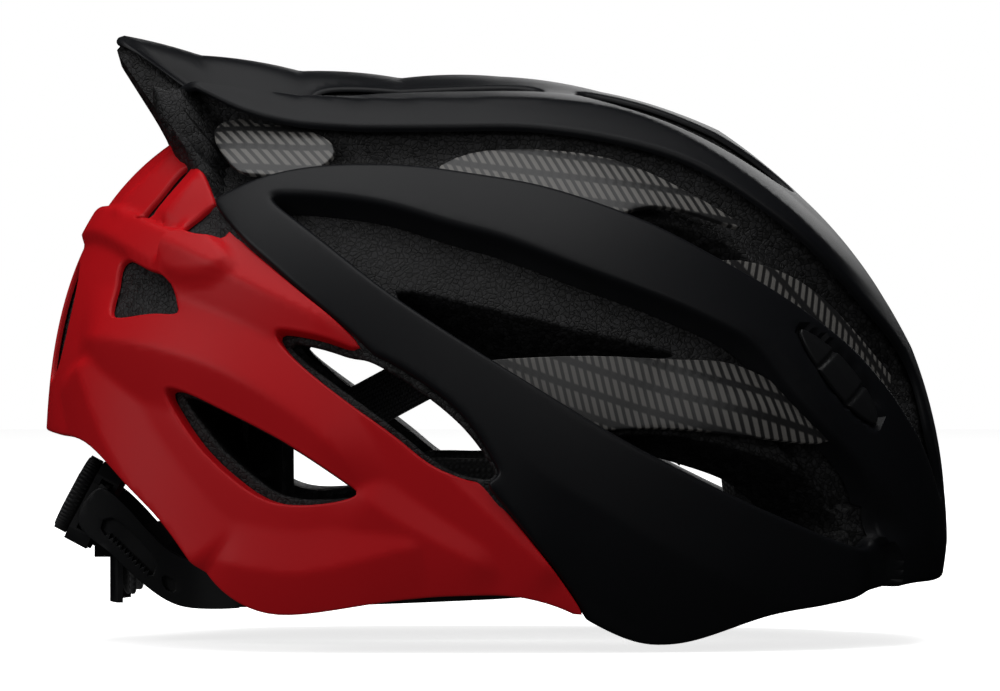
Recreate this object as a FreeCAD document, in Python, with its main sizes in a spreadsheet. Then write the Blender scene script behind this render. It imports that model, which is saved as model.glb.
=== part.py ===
import FreeCAD, Part
import math
import os
import Sketcher
from FreeCAD import Placement, Rotation, Vector

# Ventilated cycling helmet, in mm. +X points forward, +Y to the wearer's left, +Z up.
# The origin is at the middle of the bounding box, on the plane the ear flaps rest on.

doc = FreeCAD.newDocument("cycling_helmet")
sheet = doc.addObject("Spreadsheet::Sheet", "sizes")

DIMENSIONS = [
    # outer form: how far it reaches from its centre each way
    ("form_centre_x", -5.0), ("form_centre_z", 35.0),
    ("reach_front", 149.5), ("reach_rear", 141.1), ("half_width", 104.0),
    ("crown_rise", 144.5), ("skirt_drop", 100.0),
    # layers, measured inward from the outer form
    ("skin_wall", 1.2), ("red_top", 1.6), ("red_bottom", 2.8), ("foam_top", 3.0),
    ("panel_top", 6.4), ("panel_bottom", 7.6), ("channel_floor", 7.8),
    # head cavity
    ("cavity_x", 2.0), ("cavity_z", 25.0),
    ("cavity_length", 105.0), ("cavity_width", 78.0), ("cavity_height", 110.0),
    ("pad_wall", 5.0), ("web_wall", 1.6), ("fit_gap", 0.4),
    # fins
    ("centre_fin_width", 13.0), ("side_fin_width", 9.0),
    # dial group
    ("dial_x", -133.0), ("dial_z", 45.9), ("dial_lean", 62.0),
    ("dial_radius", 13.0), ("dial_thick", 4.8), ("knurl_radius", 0.75),
    ("knurl_count", 30.0), ("dish_radius", 10.0), ("dish_depth", 1.8),
    ("cap_radius", 9.5), ("cap_thick", 1.2), ("shaft_radius", 2.5),
    ("gear_teeth", 10.0), ("gear_pitch_radius", 3.5), ("gear_tip", 0.6), ("gear_root", 0.9),
    ("tooth_half", 0.38), ("housing_height", 27.0), ("housing_width", 40.0),
    ("housing_rear", 3.0), ("rack_room_rear", 5.2), ("rack_room_front", 9.4),
    ("rack_room_height", 17.4), ("cover_wall", 1.5), ("screw_radius", 0.9),
    ("rack_wall", 1.2), ("rack_height", 16.0),
    # bands, yoke and temple pins
    ("band_wall", 1.4), ("temple_x", 45.0), ("temple_z", 24.0),
    ("pin_radius", 2.0), ("pin_clearance", 0.35),
    # webbing, dividers and buckle
    ("web_width", 15.0), ("divider_length", 34.0), ("divider_width", 24.0),
    ("divider_thick", 2.6), ("buckle_length", 24.0), ("buckle_width", 22.0),
    ("buckle_thick", 6.0), ("lever_length", 18.0),
]

for row, (name, value) in enumerate(DIMENSIONS, start=1):
    sheet.set("A%d" % row, name)
    sheet.set("B%d" % row, repr(value))
    sheet.setAlias("B%d" % row, name)
doc.recompute()


def size(name):
    return float(sheet.get(name))


CX = size("form_centre_x")
CZ = size("form_centre_z")
CENTRE = Vector(CX, 0, CZ)
pieces = []


# ---------------------------------------------------------------- the outer form

def form_height_share(z, inset=0.0):
    reach = size("crown_rise") if z > CZ else size("skirt_drop")
    return abs(z - CZ) / (reach - inset)


def form_y(x, z, inset=0.0):
    """Half width of the outer form at one point of its side view."""
    front = x > CX
    power = 2.1 if front else 3.0
    reach = size("reach_front") if front else size("reach_rear")
    share = (abs(x - CX) / (reach - inset)) ** power + form_height_share(z, inset) ** power
    return (size("half_width") - inset) * max(0.0, 1.0 - share ** (2.2 / power)) ** (1 / 2.2)


def form_section(z, inset, count=32):
    """Closed curve around the form at one height."""
    points = []
    for step in range(count):
        angle = 2 * math.pi * step / count
        front = math.cos(angle) >= 0
        power = 2.1 if front else 3.0
        reach = (size("reach_front") if front else size("reach_rear")) - inset
        share = form_height_share(z, inset)
        widest = (1 - share ** power) ** (1 / power)
        along = widest * abs(math.cos(angle)) ** 0.9
        rest = max(0.0, 1 - (along ** power + share ** power) ** (2.2 / power))
        across = (size("half_width") - inset) * rest ** (1 / 2.2)
        points.append(Vector(CX + (reach if front else -reach) * along,
                             across if math.sin(angle) >= 0 else -across, z))
    curve = Part.BSplineCurve()
    curve.interpolate(points, PeriodicFlag=True)
    return Part.Wire([curve.toShape()])


def form(inset):
    """The whole outer form as a solid, shrunk by inset."""
    rise = size("crown_rise") - inset
    heights = [-6.0, 15.0] + [CZ + rise * share for share in
                              (0.035, 0.21, 0.38, 0.53, 0.67, 0.78, 0.865, 0.93, 0.97, 0.992)]
    return Part.makeLoft([form_section(z, inset) for z in heights], True, False)


def layer(top, bottom):
    return form(size(top)).cut(form(size(bottom)))


def cavity(inset=0.0):
    """The head's room: an egg-shaped hollow, shrunk by inset."""
    ball = Part.makeSphere(1.0)
    matrix = FreeCAD.Matrix()
    matrix.scale(size("cavity_length") - inset, size("cavity_width") - inset,
                 size("cavity_height") - inset)
    ball = ball.transformGeometry(matrix)
    ball.translate(Vector(size("cavity_x"), 0, size("cavity_z")))
    return ball


# ---------------------------------------------------------------- cutters

def closed_spline(points):
    curve = Part.BSplineCurve()
    curve.interpolate(points, PeriodicFlag=True)
    return Part.Wire([curve.toShape()])


def radial_cutter(points, near=0.35, far=1.3, smooth=True):
    """A tapered plug that runs from the form's centre out through a ring of surface points."""
    mean = Vector(0, 0, 0)
    for point in points:
        mean = mean + (point - CENTRE)
    mean = mean.multiply(1.0 / len(points))
    distance = mean.Length
    normal = mean.normalize()
    wires = []
    for share in (near, far):
        ring = []
        for point in points:
            ray = point - CENTRE
            ring.append(CENTRE + ray.multiply(share * distance / ray.dot(normal)))
        if smooth:
            wires.append(closed_spline(ring))
        else:
            wires.append(Part.makePolygon(ring + [ring[0]]))
    return Part.makeLoft(wires, True, True)


def from_side(outline, side, inset=0.0):
    """Side-view points (x, z) lifted to the form on the left (1) or right (-1)."""
    return [Vector(x, side * form_y(x, z, inset), z) for x, z in outline]


def side_prism(outline, smooth=False, y_from=-140.0, y_to=140.0):
    """A side-view outline carried across the helmet along Y."""
    points = [Vector(x, y_from, z) for x, z in outline]
    wire = closed_spline(points) if smooth else Part.makePolygon(points + [points[0]])
    return Part.Face(wire).extrude(Vector(0, y_to - y_from, 0))


def mirror(shape):
    return shape.mirror(Vector(0, 0, 0), Vector(0, 1, 0))


def fused(shapes):
    result = shapes[0]
    for shape in shapes[1:]:
        result = result.fuse(shape)
    return result


def largest(shape):
    """The main solid of a boolean result, without loose crumbs."""
    return max(shape.Solids, key=lambda solid: solid.Volume)


def feature(name, shape):
    """Store one shaped piece as a document object."""
    item = doc.addObject("Part::Feature", name)
    item.Shape = shape
    item.Label = name
    item.Placement = shape.Placement
    pieces.append(item)
    return item


def pair(name, shape_left):
    feature(name + "_left", shape_left)
    feature(name + "_right", mirror(shape_left))


# ---------------------------------------------------------------- lower edge

FLAP_REST_FRONT = 60.0
FLAP_REST_REAR = 46.0


def below_hem():
    """Everything under the helmet's lower edge, which waves from brow to nape."""
    brow = Part.BSplineCurve()
    brow.interpolate([Vector(x, -140, z) for x, z in
                      [(152, 21), (133, 19), (113, 15.5), (90, 12), (74, 6), (FLAP_REST_FRONT, 0)]])
    nape = Part.BSplineCurve()
    nape.interpolate([Vector(x, -140, z) for x, z in
                      [(FLAP_REST_REAR, 0), (33, 6), (15, 14.5), (-10, 17), (-40, 14), (-66, 10),
                       (-80, 14), (-96, 31), (-112, 50), (-131, 64), (-152, 67)]])
    edges = [brow.toShape(),
             Part.makeLine(Vector(FLAP_REST_FRONT, -140, 0), Vector(FLAP_REST_REAR, -140, 0)),
             nape.toShape()]
    corners = [(-152, 67), (-152, -40), (152, -40), (152, 21)]
    for first, second in zip(corners, corners[1:]):
        edges.append(Part.makeLine(Vector(first[0], -140, first[1]),
                                   Vector(second[0], -140, second[1])))
    face = Part.Face(Part.Wire(Part.__sortEdges__(edges)))
    return face.extrude(Vector(0, 280, 0))


hem = below_hem()

# ---------------------------------------------------------------- openings

# The upper channel lies between the shoulder rib and the middle rib.
UPPER_CHANNEL = [(-92, 160), (-50, 158), (10, 159), (45, 155.5), (74, 142), (105, 117),
                 (124, 96), (134, 74), (129, 67), (117, 84), (100, 100), (78, 114), (51, 131),
                 (20, 142), (-10, 148), (-50, 150), (-82, 144)]
# The side window lies between the middle rib and the lower band.
SIDE_WINDOW = [(-68, 139), (-40, 137.5), (-14, 131), (20, 120), (50, 109), (75, 98), (97, 86),
               (113, 70), (122, 48), (122, 29), (106, 33), (82, 42), (50, 60), (20, 77),
               (-5, 92), (-35, 112), (-58, 130)]
UPPER_HOLE = [(36, 137), (60, 139), (84, 130), (89, 122), (73, 119.5), (52, 130)]
SIDE_HOLE_REAR = [(-54, 132), (-22, 127), (12, 116), (45, 104), (76, 92), (40, 97),
                  (2, 95), (-20, 105), (-38, 118)]
SIDE_HOLE_FRONT = [(36, 71), (52, 70), (78, 65), (101, 58), (115, 47), (117, 34),
                   (100, 38), (76, 47), (52, 60)]
NAPE_HOLE_UPPER = [(-64, 97), (-48, 94), (-28, 86), (-6, 66), (1, 57), (-14, 57), (-34, 69),
                   (-52, 83)]
NAPE_HOLE_LOWER = [(-97, 79), (-82, 74), (-66, 63), (-50, 50), (-55, 46), (-74, 47), (-84, 54),
                   (-92, 65)]
REAR_WINDOW = [(-118, 120), (-104, 114), (-101, 105), (-117, 103)]
CROWN_SLOT_FRONT = [(28, 20), (58, 19), (84, 17), (92, 22), (84, 29), (58, 34), (30, 34)]
CROWN_SLOT_REAR = [(-58, 17), (-30, 19), (10, 20), (12, 33), (-28, 33), (-56, 28)]
EXHAUST = [(9, 118), (26, 114), (30, 96), (24, 84), (9, 84)]

channels = []
holes = []


def flat_prism(outline, side, along):
    """A smooth outline carried straight through the wall along one axis."""
    if along == "Y":
        points = [Vector(x, side * 30, z) for x, z in outline]
        travel = Vector(0, side * 110, 0)
    elif along == "Z":
        points = [Vector(x, side * y, 90) for x, y in outline]
        travel = Vector(0, 0, 110)
    else:
        points = [Vector(-160, side * y, z) for y, z in outline]
        travel = Vector(90, 0, 0)
    return Part.Face(closed_spline(points)).extrude(travel)


for side in (1, -1):
    channels.append(radial_cutter(from_side(UPPER_CHANNEL, side)))
    channels.append(radial_cutter(from_side(SIDE_WINDOW, side)))
    holes.append(radial_cutter(from_side(UPPER_HOLE, side), 0.6))
    for outline in (SIDE_HOLE_REAR, SIDE_HOLE_FRONT, NAPE_HOLE_UPPER, NAPE_HOLE_LOWER):
        holes.append(flat_prism(outline, side, "Y"))
    holes.append(flat_prism(CROWN_SLOT_FRONT, side, "Z"))
    holes.append(flat_prism(CROWN_SLOT_REAR, side, "Z"))
    holes.append(flat_prism(EXHAUST, side, "X"))
rear_windows = [radial_cutter(from_side(REAR_WINDOW, side)) for side in (1, -1)]

# The red rear shell takes over behind this slanting side-view line.
RED_REGION = [(-87, 138), (-78, 126), (-59, 110), (-36, 91), (-16, 75), (2, 42), (14, 29),
              (26, 15), (26, -60), (-200, -60), (-200, 166), (-100, 166)]
SEAM = 0.6
RED_INNER = [(-89, 138), (-79.5, 125), (-60, 108.5), (-37, 89.5), (-17.5, 74), (0.5, 41.5),
             (12.5, 28.5), (24, 14.5), (24, -60), (-200, -60), (-200, 164), (-101, 164)]

black_layer = form(0.0).cut(form(size("skin_wall")))
black = black_layer.cut(fused([hem, side_prism(RED_REGION)])).cut(channels + holes)
feature("black_shell", largest(black))

red_layer = layer("red_top", "red_bottom").cut(hem).common(side_prism(RED_INNER))
red = red_layer.cut(holes + rear_windows)
feature("red_shell", largest(red))

# ---------------------------------------------------------------- foam liner

foam_outer = form(size("foam_top")).cut(channels).fuse(form(size("channel_floor")))
foam = foam_outer.cut([cavity(), hem] + holes)

nape_relief = Part.makeBox(48, 64, 62, Vector(-131, -32, -4))
anchor_seats = []
for side in (1, -1):
    seat = Part.makeCylinder(7.2, 18, Vector(size("temple_x"), side * 58.8, size("temple_z")),
                             Vector(0, side, 0))
    anchor_seats.append(seat)
foam = largest(foam.cut([nape_relief] + anchor_seats))
feature("foam_liner", foam)

# ---------------------------------------------------------------- fins at the tail

CENTRE_FIN = [(-8, 177), (-30, 179), (-62, 181.5), (-94, 186.5), (-119, 193), (-122.5, 190),
              (-101, 162), (-92, 150), (-60, 160), (-30, 165)]
SIDE_FIN = [(-50, 166.5), (-70, 171), (-90, 175.5), (-107, 177.5), (-108.5, 175), (-99, 163),
            (-90, 152), (-70, 150), (-50, 150)]


def fin(outline, width, y_middle):
    blank = side_prism(outline, False, y_middle - width / 2, y_middle + width / 2)
    return largest(blank.cut(form(0.0)))


feature("tail_fin", fin(CENTRE_FIN, size("centre_fin_width"), 0))
pair("side_fin", fin(SIDE_FIN, size("side_fin_width"), 43))

# ---------------------------------------------------------------- carbon-look panels

PANEL_UPPER = [(-24, 147), (-14, 160), (40, 158), (60, 146), (64, 137.5), (38, 136), (28, 142),
               (0, 147)]
PANEL_FRONT = [(72, 119), (90, 124), (94, 119), (112, 106), (130, 82), (126, 72), (112, 88),
               (92, 104)]
PANEL_SIDE = [(4, 92), (40, 95.5), (78, 91), (100, 78), (112, 64), (101, 60), (78, 67),
              (52, 72), (34, 72.5), (18, 80)]
PANEL_TAIL = [(-90, 162), (-62, 161), (-52, 157), (-54, 147), (-84, 140)]

panel_layer = layer("panel_top", "panel_bottom")
upper_channel = radial_cutter(from_side(UPPER_CHANNEL, 1))
side_window = radial_cutter(from_side(SIDE_WINDOW, 1))
for name, outline, room in (("carbon_upper", PANEL_UPPER, upper_channel),
                            ("carbon_front", PANEL_FRONT, upper_channel),
                            ("carbon_side", PANEL_SIDE, side_window),
                            ("carbon_tail", PANEL_TAIL, upper_channel)):
    plug = radial_cutter(from_side(outline, 1), smooth=False).common(room)
    pair(name, largest(panel_layer.common(plug).cut(holes)))

# ---------------------------------------------------------------- rib inserts

# A small almond-shaped trim plate sits on the front of each middle rib.
RIB_INSERT = [(93, 100), (106, 96), (117, 83), (121, 68), (113, 73), (102, 84)]
trim_layer = form(-1.3).cut(form(-0.1))
pair("rib_insert", largest(trim_layer.common(radial_cutter(from_side(RIB_INSERT, 1)))))

# ---------------------------------------------------------------- comfort pads

pad_layer = cavity(0.4).cut(cavity(size("pad_wall")))
BROW_PAD = [(76, 24), (118, 24), (118, 50), (72, 58)]
feature("brow_pad", largest(pad_layer.common(side_prism(BROW_PAD, False, -52, 52))))
crown_strip = Part.makeBox(52, 20, 40, Vector(-58, -10, 110))
feature("crown_pad", largest(pad_layer.common(crown_strip)))
SIDE_PAD = [(-30, 44), (22, 44), (16, 60), (-24, 60)]
pair("side_pad", largest(pad_layer.common(side_prism(SIDE_PAD, False, 20, 90))))

# ---------------------------------------------------------------- webbing

web_layer = cavity(0.4).cut(cavity(0.4 + size("web_wall")))


def strip(start, end, width):
    """Side-view band of the given width between two points."""
    run = Vector(end[0] - start[0], 0, end[1] - start[1])
    across = Vector(-run.z, 0, run.x).normalize().multiply(width / 2)
    corners = [Vector(start[0], 0, start[1]) + across, Vector(end[0], 0, end[1]) + across,
               Vector(end[0], 0, end[1]) - across, Vector(start[0], 0, start[1]) - across]
    return [(corner.x, corner.z) for corner in corners]


def webbing(start, end):
    band = side_prism(strip(start, end, size("web_width")), False, 1, 120)
    return largest(web_layer.common(band))


pair("strap_front", webbing((62, 62), (29, 88)))
pair("strap_rear", webbing((-52, 68), (-13, 89)))
chin_run = Part.makeBox(size("web_width"), 60, 60, Vector(9 - size("web_width") / 2, 22, 112))
pair("chin_strap", largest(web_layer.common(chin_run)))


# ---------------------------------------------------------------- sketch helpers

def new_body(name, placement=None):
    body = doc.addObject("PartDesign::Body", name)
    body.Label = name
    body.Placement = placement or Placement()
    pieces.append(body)
    return body


def sketch(body, plane, name, height=0.0):
    item = body.newObject("Sketcher::SketchObject", name)
    for origin in body.Origin.OriginFeatures:
        if getattr(origin, "Role", "") == plane:
            item.AttachmentSupport = [(origin, "")]
    item.MapMode = "FlatFace"
    item.AttachmentOffset = Placement(Vector(0, 0, height), Rotation())
    return item


def draw_loop(item, points):
    """Closed polygon with its corners joined."""
    first = item.GeometryCount
    count = len(points)
    for index in range(count):
        a = Vector(points[index][0], points[index][1], 0)
        b = Vector(points[(index + 1) % count][0], points[(index + 1) % count][1], 0)
        item.addGeometry(Part.LineSegment(a, b), False)
    for index in range(count):
        item.addConstraint(Sketcher.Constraint("Coincident", first + index, 2,
                                               first + (index + 1) % count, 1))


def draw_box(item, x_low, x_high, y_low, y_high):
    draw_loop(item, [(x_low, y_low), (x_high, y_low), (x_high, y_high), (x_low, y_high)])


def cut_corners(half_x, half_y, cut):
    """A centred box whose four corners are cut at a slant."""
    return [(half_x - cut, -half_y), (half_x, -half_y + cut), (half_x, half_y - cut),
            (half_x - cut, half_y), (-half_x + cut, half_y), (-half_x, half_y - cut),
            (-half_x, -half_y + cut), (-half_x + cut, -half_y)]


def draw_circle(item, x, y, radius, alias=None):
    circle = Part.Circle(Vector(x, y, 0), Vector(0, 0, 1), radius)
    index = item.addGeometry(circle, False)
    if alias:
        constraint = item.addConstraint(Sketcher.Constraint("Radius", index, radius))
        item.setExpression("Constraints[%d]" % constraint, "sizes." + alias)


def pad(body, profile, length, name, reverse=False, expression=None):
    item = body.newObject("PartDesign::Pad", name)
    item.Profile = profile
    item.Length = length
    item.Reversed = reverse
    if expression:
        item.setExpression("Length", expression)
    body.Tip = item
    return item


def pocket(body, profile, length, name, reverse=False):
    item = body.newObject("PartDesign::Pocket", name)
    item.Profile = profile
    item.Length = length
    item.Reversed = reverse
    body.Tip = item
    return item


# Dial group frame: its own X is up the housing, Y is left, Z is rearward along the dial's axis.
DIAL = Placement(Vector(size("dial_x"), 0, size("dial_z")),
                 Rotation(Vector(0, 1, 0), -size("dial_lean")))

# ---------------------------------------------------------------- dial wheel

wheel = new_body("dial_wheel", DIAL)
rim = sketch(wheel, "XY_Plane", "wheel_outline", -size("dial_thick") / 2)
draw_circle(rim, 0, 0, size("dial_radius"), "dial_radius")
pad(wheel, rim, size("dial_thick"), "wheel_disc", False, "sizes.dial_thick")
doc.recompute()
dish = sketch(wheel, "XY_Plane", "wheel_dish", size("dial_thick") / 2)
draw_circle(dish, 0, 0, size("dish_radius"), "dish_radius")
pocket(wheel, dish, size("dish_depth"), "wheel_recess")
doc.recompute()
bore = sketch(wheel, "XY_Plane", "wheel_bore", size("dial_thick") / 2)
draw_circle(bore, 0, 0, 1.6)
pocket(wheel, bore, size("dial_thick"), "wheel_screw_hole")
doc.recompute()
head_seat = sketch(wheel, "XY_Plane", "wheel_head_seat", size("dial_thick") / 2 - size("dish_depth"))
draw_circle(head_seat, 0, 0, 2.6)
pocket(wheel, head_seat, 0.8, "wheel_screw_seat")
doc.recompute()
notch = sketch(wheel, "XY_Plane", "wheel_notch", size("dial_thick") / 2)
draw_circle(notch, size("dial_radius") + 0.2, 0, size("knurl_radius"), "knurl_radius")
groove = pocket(wheel, notch, size("dial_thick"), "wheel_groove")
doc.recompute()
knurls = wheel.newObject("PartDesign::PolarPattern", "wheel_knurls")
knurls.Originals = [groove]
knurls.Axis = (rim, ["N_Axis"])
knurls.Angle = 360
wheel.Tip = knurls
knurls.setExpression("Occurrences", "sizes.knurl_count")
doc.recompute()

# ---------------------------------------------------------------- dial cap and screw

cap = new_body("dial_cap", DIAL)
cap_outline = sketch(cap, "XY_Plane", "cap_outline", 1.0)
draw_circle(cap_outline, 0, 0, size("cap_radius"), "cap_radius")
pad(cap, cap_outline, size("cap_thick"), "cap_disc", False, "sizes.cap_thick")
doc.recompute()
cap_bar = sketch(cap, "XY_Plane", "cap_bar", 2.2)
draw_box(cap_bar, -6.0, 6.0, -1.2, 1.2)
pad(cap, cap_bar, 0.7, "cap_grip")
doc.recompute()

screw = new_body("dial_screw", DIAL)
screw_head = sketch(screw, "XY_Plane", "screw_head", -0.2)
draw_circle(screw_head, 0, 0, 2.5)
pad(screw, screw_head, 0.8, "head")
doc.recompute()
screw_stem = sketch(screw, "XY_Plane", "screw_stem", 0.0)
draw_circle(screw_stem, 0, 0, 1.2)
pad(screw, screw_stem, 7.0, "stem", True)
doc.recompute()

# ---------------------------------------------------------------- pinion and its shaft

PITCH = size("gear_pitch_radius")
TIP = PITCH + size("gear_tip")
ROOT = PITCH - size("gear_root")
HALF = size("tooth_half")
TEETH = int(size("gear_teeth"))


def gear_outline():
    """Plain tapered teeth with a tooth pointing along the local X axis."""
    points = []
    for tooth in range(TEETH):
        middle = 2 * math.pi * tooth / TEETH
        for radius, half in ((ROOT, -HALF * 1.5), (TIP, -HALF * 0.6), (TIP, HALF * 0.6),
                             (ROOT, HALF * 1.5)):
            angle = middle + math.atan2(half, radius)
            points.append((radius * math.cos(angle), radius * math.sin(angle)))
    return points


pinion = new_body("pinion", DIAL)
shaft = sketch(pinion, "XY_Plane", "shaft_outline", -size("dial_thick") / 2)
draw_circle(shaft, 0, 0, size("shaft_radius"), "shaft_radius")
pad(pinion, shaft, 3.0, "shaft", True)
doc.recompute()
teeth = sketch(pinion, "XY_Plane", "gear_teeth", -5.4)
draw_loop(teeth, gear_outline())
pad(pinion, teeth, 3.8, "gear", True)
doc.recompute()
journal = sketch(pinion, "XY_Plane", "journal_outline", -9.2)
draw_circle(journal, 0, 0, 1.6)
pad(pinion, journal, 1.6, "journal", True)
doc.recompute()
screw_hole = sketch(pinion, "XY_Plane", "screw_hole", -size("dial_thick") / 2)
draw_circle(screw_hole, 0, 0, 1.2)
pocket(pinion, screw_hole, 4.6, "thread_hole")
doc.recompute()

# ---------------------------------------------------------------- housing and its cover

HALF_TALL = size("housing_height") / 2
HALF_WIDE = size("housing_width") / 2
DEEP = size("rack_room_front") - size("housing_rear")

housing = new_body("dial_housing", DIAL)
block = sketch(housing, "XY_Plane", "block_outline", -size("housing_rear"))
draw_loop(block, cut_corners(HALF_TALL, HALF_WIDE, 4.0))
pad(housing, block, DEEP, "block", True)
doc.recompute()
room = sketch(housing, "XY_Plane", "rack_room", -size("rack_room_front"))
draw_box(room, -size("rack_room_height") / 2, size("rack_room_height") / 2,
         -HALF_WIDE - 1, HALF_WIDE + 1)
pocket(housing, room, size("rack_room_front") - size("rack_room_rear"), "rack_channel", True)
doc.recompute()
shaft_hole = sketch(housing, "XY_Plane", "shaft_hole", -size("housing_rear"))
draw_circle(shaft_hole, 0, 0, 3.0)
pocket(housing, shaft_hole, 3.0, "shaft_bore")
doc.recompute()
seat = sketch(housing, "XY_Plane", "detent_seat", -size("housing_rear"))
draw_circle(seat, 0, 0, 10.0)
pocket(housing, seat, 1.2, "detent_recess")
doc.recompute()

SCREW_SPOTS = [(x, y) for x in (-11.1, 11.1) for y in (-12.0, 12.0)]
screw_holes = sketch(housing, "XY_Plane", "cover_screw_holes", -size("rack_room_front"))
for x, y in SCREW_SPOTS:
    draw_circle(screw_holes, x, y, size("screw_radius"))
pocket(housing, screw_holes, 4.0, "screw_holes", True)
doc.recompute()

cover = new_body("housing_cover", DIAL)
plate = sketch(cover, "XY_Plane", "plate_outline", -size("rack_room_front"))
draw_loop(plate, cut_corners(HALF_TALL, HALF_WIDE, 4.0))
draw_circle(plate, 0, 0, 2.0)
for x, y in SCREW_SPOTS:
    draw_circle(plate, x, y, size("screw_radius"))
pad(cover, plate, size("cover_wall"), "plate", True, "sizes.cover_wall")
doc.recompute()

ring = new_body("detent_ring", DIAL)
ring_outline = sketch(ring, "XY_Plane", "ring_outline", -size("housing_rear") - 1.2)
draw_circle(ring_outline, 0, 0, 9.7)
draw_circle(ring_outline, 0, 0, 6.6)
pad(ring, ring_outline, 1.0, "ring")
doc.recompute()

fixings = []
for x, y in SCREW_SPOTS:
    low = -size("rack_room_front") - size("cover_wall")
    stem = Part.makeCylinder(size("screw_radius"), 4.8, Vector(x, y, low))
    head = Part.makeCylinder(1.9, 1.1, Vector(x, y, low - 1.1))
    slot = Part.makeBox(3.0, 0.5, 0.5, Vector(x - 1.5, y - 0.25, low - 1.2))
    fixings.append(stem.fuse(head).cut(slot))
feature("housing_screws", Part.Compound(fixings).transformed(DIAL.toMatrix(), True))

# ---------------------------------------------------------------- side bands with racks


def ribbon(path, wall, z_low=-30.0, z_high=110.0):
    """An upright wall that follows a top-view path."""
    spline = Part.BSplineCurve()
    spline.interpolate([Vector(x, y, z_low) for x, y in path])
    first = spline.FirstParameter
    last = spline.LastParameter
    rows = {1: [], -1: []}
    for step in range(15):
        at = first + (last - first) * step / 14
        point = spline.value(at)
        tangent = spline.tangent(at)[0]
        across = Vector(-tangent.y, tangent.x, 0)
        for side in rows:
            rows[side].append(point + Vector(across).multiply(side * wall / 2))
    edges = []
    for side in rows:
        edge = Part.BSplineCurve()
        edge.interpolate(rows[side])
        edges.append(edge.toShape())
    edges.append(Part.makeLine(rows[1][0], rows[-1][0]))
    edges.append(Part.makeLine(rows[1][-1], rows[-1][-1]))
    face = Part.Face(Part.Wire(Part.__sortEdges__(edges)))
    return face.extrude(Vector(0, 0, z_high - z_low))


BAND_PATH = [(-127.3, 28.6), (-119, 31), (-108, 33), (-98, 34.2), (-89, 36.4), (-75, 44),
             (-50, 58), (-20, 67.5), (15, 70), (45, 67)]
BAND_SIDE = [(-131, 38), (-124, 50), (-116, 43), (-104, 30), (-92, 24), (-60, 25), (0, 28),
             (46, 30), (51, 24), (46, 18), (0, 15), (-60, 12), (-92, 11), (-106, 17),
             (-120, 30)]


def rack(side):
    """Flat end of one band: a slot with teeth along one edge, in the dial's frame."""
    rear = -5.6 if side > 0 else -7.6
    front = rear - size("rack_wall")
    half = size("rack_height") / 2
    y_near, y_far = -9.0, 28.9
    outline = [Vector(half, y_near, front), Vector(half, y_far, front),
               Vector(-half, y_far, front), Vector(-half, y_near, front)]
    gap = 0.4
    root_line = TIP + gap
    tip_line = ROOT + gap
    pitch = 2 * math.pi * PITCH / TEETH
    slot_low, slot_high = -5.2, 11.6
    toothed = [Vector(-TIP - 0.7, slot_low, front), Vector(root_line, slot_low, front)]
    for index in range(-2, 5):
        middle = (index + 0.5) * pitch
        toothed.append(Vector(root_line, middle - HALF * 1.5, front))
        toothed.append(Vector(tip_line, middle - HALF * 0.6, front))
        toothed.append(Vector(tip_line, middle + HALF * 0.6, front))
        toothed.append(Vector(root_line, middle + HALF * 1.5, front))
    toothed.append(Vector(root_line, slot_high, front))
    toothed.append(Vector(-TIP - 0.7, slot_high, front))
    blank = Part.Face(Part.makePolygon(outline + [outline[0]]))
    hole = Part.Face(Part.makePolygon(toothed + [toothed[0]]))
    tongue = blank.cut(hole).extrude(Vector(0, 0, size("rack_wall")))
    if side < 0:
        tongue.rotate(Vector(0, 0, 0), Vector(0, 0, 1), 180)
    tongue.Placement = DIAL.multiply(tongue.Placement)
    return tongue


def band(side):
    path = [(x, side * y) for x, y in BAND_PATH]
    strap = ribbon(path, size("band_wall")).common(side_prism(BAND_SIDE))
    boss = Part.makeCylinder(6.0, 2.2, Vector(size("temple_x"), side * 66.0, size("temple_z")),
                             Vector(0, side, 0))
    eye = Part.makeCylinder(size("pin_radius") + size("pin_clearance"), 12,
                            Vector(size("temple_x"), side * 61.0, size("temple_z")),
                            Vector(0, side, 0))
    link = Part.makeBox(9.0, 2.6, 5.5, Vector(-7.0, 26.4, -9.0))
    if side < 0:
        link.rotate(Vector(0, 0, 0), Vector(0, 0, 1), 180)
    link.Placement = DIAL.multiply(link.Placement)
    return largest(strap.fuse([boss, rack(side), link]).cut(eye))


feature("band_left", band(1))
feature("band_right", band(-1))

# ---------------------------------------------------------------- temple anchors

for name, side in (("temple_anchor_left", 1), ("temple_anchor_right", -1)):
    anchor = new_body(name, Placement(Vector(size("temple_x"), 0, size("temple_z")),
                                      Rotation(Vector(1, 0, 0), -90 * side)))
    half_profile = sketch(anchor, "XZ_Plane", name + "_profile")
    draw_loop(half_profile, [(0, 57.4), (4, 57.4), (4, 58.6), (2, 58.6), (2, 70.6), (7, 70.6),
                             (7, 76.4), (0, 76.4)])
    turned = anchor.newObject("PartDesign::Revolution", name + "_turned")
    turned.Profile = half_profile
    turned.ReferenceAxis = (half_profile, ["V_Axis"])
    turned.Angle = 360
    anchor.Tip = turned
doc.recompute()

# ---------------------------------------------------------------- yoke and height tracks

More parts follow.
